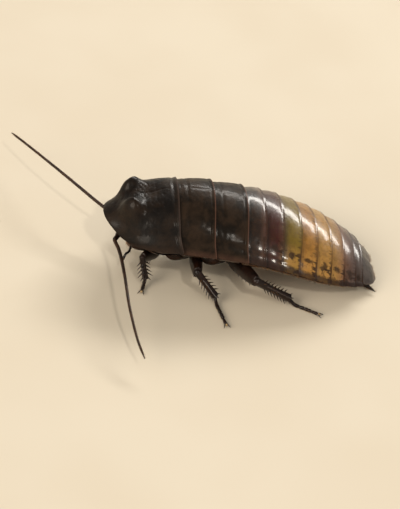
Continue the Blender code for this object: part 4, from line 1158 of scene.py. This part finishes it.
bm = newShape()
addSheet(bm, tail["columns"], tail["rows"], endPlatePlace)
storePlate("endPlate", bm, tailShell, tail["wall"], replaced=["supra_anal_plate"])
bm = newShape()
addSheet(bm, lowerPlate["columns"], lowerPlate["rows"], lowerPlatePlace)
bmesh.ops.reverse_faces(bm, faces=bm.faces)
storePlate("genitalPlate", bm, bellyShell, lowerPlate["wall"])

for side, way in sides:
    start, end = bodyPoint(58.4, 4.9 * way, -1.0), bodyPoint(62.9, 8.0 * way, -0.55)
    rows = cercus["rows"]
    bm = newShape()
    addSleeve(bm, [start.lerp(end, i / rows) for i in range(rows + 1)], cercusRadius, 20, 0.8)
    count = len(bm.faces)
    rng = random.Random(70 + way)
    along = (end - start).normalized()
    basis = aim(start, along).to_3x3()
    for _ in range(cercus["hairs"]):
        share, turn = rng.uniform(0.1, 0.98), rng.uniform(0, 6.28)
        out = basis @ Vector((math.cos(turn), math.sin(turn), 0))
        addBristle(bm, start.lerp(end, share) + out * cercusRadius(share, 0) * 0.8, out + along * 0.8,
                   rng.uniform(0.35, 0.7))
    paintFrom(bm, count, 1)
    storePiece(f"cercus{side.title()}", bm, [legShell, bristleHair], [f"cercus_{side}"])
print("tail made")

# Fine golden hairs along the abdomen's side edges and round the end plate

edgeHairs = {"sides": 330, "end": 60, "thick": 0.02}

bm = newShape()
rng = random.Random(11)
for _ in range(edgeHairs["sides"]):
    s, way = rng.uniform(31.0, 57.8), rng.choice((1, -1))
    root = bodyPoint(s, (halfWidth(s) - 0.1) * way, rng.uniform(-0.1, 0.2))
    addBristle(bm, root, (way, rng.uniform(0.3, 1.0), rng.uniform(-0.7, 0.1)), rng.uniform(0.35, 0.6),
               edgeHairs["thick"])
for _ in range(edgeHairs["end"]):
    t = rng.uniform(-0.9, 0.9)
    root, _ = endPlatePlace(1.0, t)
    addBristle(bm, root, (t * 0.8, 1.0, rng.uniform(-0.3, 0.3)), rng.uniform(0.3, 0.5), edgeHairs["thick"])
storePiece("edgeHairs", bm, [bristleHair])
print("hairs made")

# Floor, light and camera

studio = {"floorTones": ("#cec4b2", "#d1c8b7"), "floorHalf": 3.0, "sky": "#efe9df", "horizon": 0.64,
          "overhead": 0.38}
lamps = {  # azimuth and elevation seen from the animal, distance and size in metres
    "stripBehind": {"azimuthDeg": -117, "elevationDeg": 32, "distance": 1.5, "size": (1.15, 0.275),
                    "watts": 24.5, "colour": "#fffaf2"},  # draws the long highlight on the back
    "frontFill": {"azimuthDeg": 30, "elevationDeg": 27, "distance": 2.0, "size": (1.1, 1.1),
                  "watts": 32.0, "colour": "#fff1de"},  # opens the shadow on the camera's side
    "glint": {"azimuthDeg": 102, "elevationDeg": 52, "distance": 0.7, "size": (0.05, 0.05),
              "watts": 1.0, "colour": "#fff6e8"},  # small bright spots on the flank
}
camera = {"azimuthDeg": 76.0, "elevationDeg": 36.8, "rollDeg": -12.9, "distance": 0.372,
          "pixelsPerMm": 1.14, "photoWidth": 400, "photoHeight": 509,
          "aimPixel": (296.6, 372.2), "cropCentre": (287.0, 379.0), "cropWidth": 100.0}


def floorMaterial():  # matt painted board, with hardly any pattern
    mat, shader, inMm = newMaterial("paleFloor", Roughness=0.85, Specular_IOR_Level=0.2)
    cloud = addNode(mat, "TexNoise", {"Vector": inMm, "Scale": 1 / 40.0, "Detail": 2.0, "Roughness": 0.55})
    light = addNode(mat, "MapRange", {0: cloud, 1: 0.3, 2: 0.7}, **smooth)
    low, high = studio["floorTones"]
    setInputs(mat, shader, {"Base Color": layOver(mat, hexColour(low), (((light,), 1.0, high),))})
    return mat


def outwards(azimuthDeg, elevationDeg):  # from the animal; azimuth 0 is ahead of it, 90 its left side
    a, e = math.radians(azimuthDeg), math.radians(elevationDeg)
    return Vector((math.sin(a) * math.cos(e), -math.cos(a) * math.cos(e), math.sin(e)))


bm = bmesh.new()
bmesh.ops.create_grid(bm, x_segments=2, y_segments=2, size=studio["floorHalf"])
mesh = bpy.data.meshes.new("floor")
bm.to_mesh(mesh)
bm.free()
floor = bpy.data.objects.new("floor", mesh)
mesh.materials.append(floorMaterial())
bpy.context.scene.collection.objects.link(floor)

world = bpy.data.worlds.new("studio")
world.use_nodes = True
sky = addNode(world, "TexCoord", {})
height = addNode(world, "SeparateXYZ", {0: sky.outputs["Generated"]})
fade = addNode(world, "MapRange", {0: height.outputs["Z"], 1: 0.0, 2: 0.8, 3: studio["horizon"],
                                   4: studio["overhead"]})
setInputs(world, world.node_tree.nodes["Background"], {0: hexColour(studio["sky"]), 1: fade})
bpy.context.scene.world = world
bpy.context.scene.view_settings.view_transform = "Standard"

middle = (Vector((0, 0, body["keelHeight"])) + frameShift) * 0.001
for name, lamp in lamps.items():
    data = bpy.data.lights.new(name, "AREA")
    data.shape = "RECTANGLE"
    data.size, data.size_y = lamp["size"]
    data.energy, data.color = lamp["watts"], hexColour(lamp["colour"])[:3]
    light = bpy.data.objects.new(name, data)
    back = outwards(lamp["azimuthDeg"], lamp["elevationDeg"])
    light.location = middle + back * lamp["distance"]
    light.rotation_euler = back.to_track_quat("Z", "Y").to_euler()
    bpy.context.scene.collection.objects.link(light)

back = outwards(camera["azimuthDeg"], camera["elevationDeg"])
roll = math.radians(camera["rollDeg"])
level = up.cross(back).normalized()
rise = back.cross(level)
right = level * math.cos(roll) - rise * math.sin(roll)
upright = level * math.sin(roll) + rise * math.cos(roll)
focal = camera["pixelsPerMm"] * camera["distance"] * 1000  # in the photo's pixels
across, down = ((centre - aimed) / focal for centre, aimed in zip(camera["cropCentre"], camera["aimPixel"]))
zAxis = (back - right * across + upright * down).normalized()
xAxis = upright.cross(zAxis).normalized()
lens = bpy.data.cameras.new("photoCamera")
lens.sensor_width = 36.0
lens.lens = lens.sensor_width * focal / (camera["cropWidth"] * camera["photoHeight"] / camera["photoWidth"])
lens.clip_start, lens.clip_end = 0.01, 10.0
eye = bpy.data.objects.new("photoCamera", lens)
eye.location = middle + back * camera["distance"]
eye.rotation_euler = Matrix((xAxis, zAxis.cross(xAxis), zAxis)).transposed().to_euler()
bpy.context.scene.collection.objects.link(eye)
bpy.context.scene.camera = eye
print("stage made")
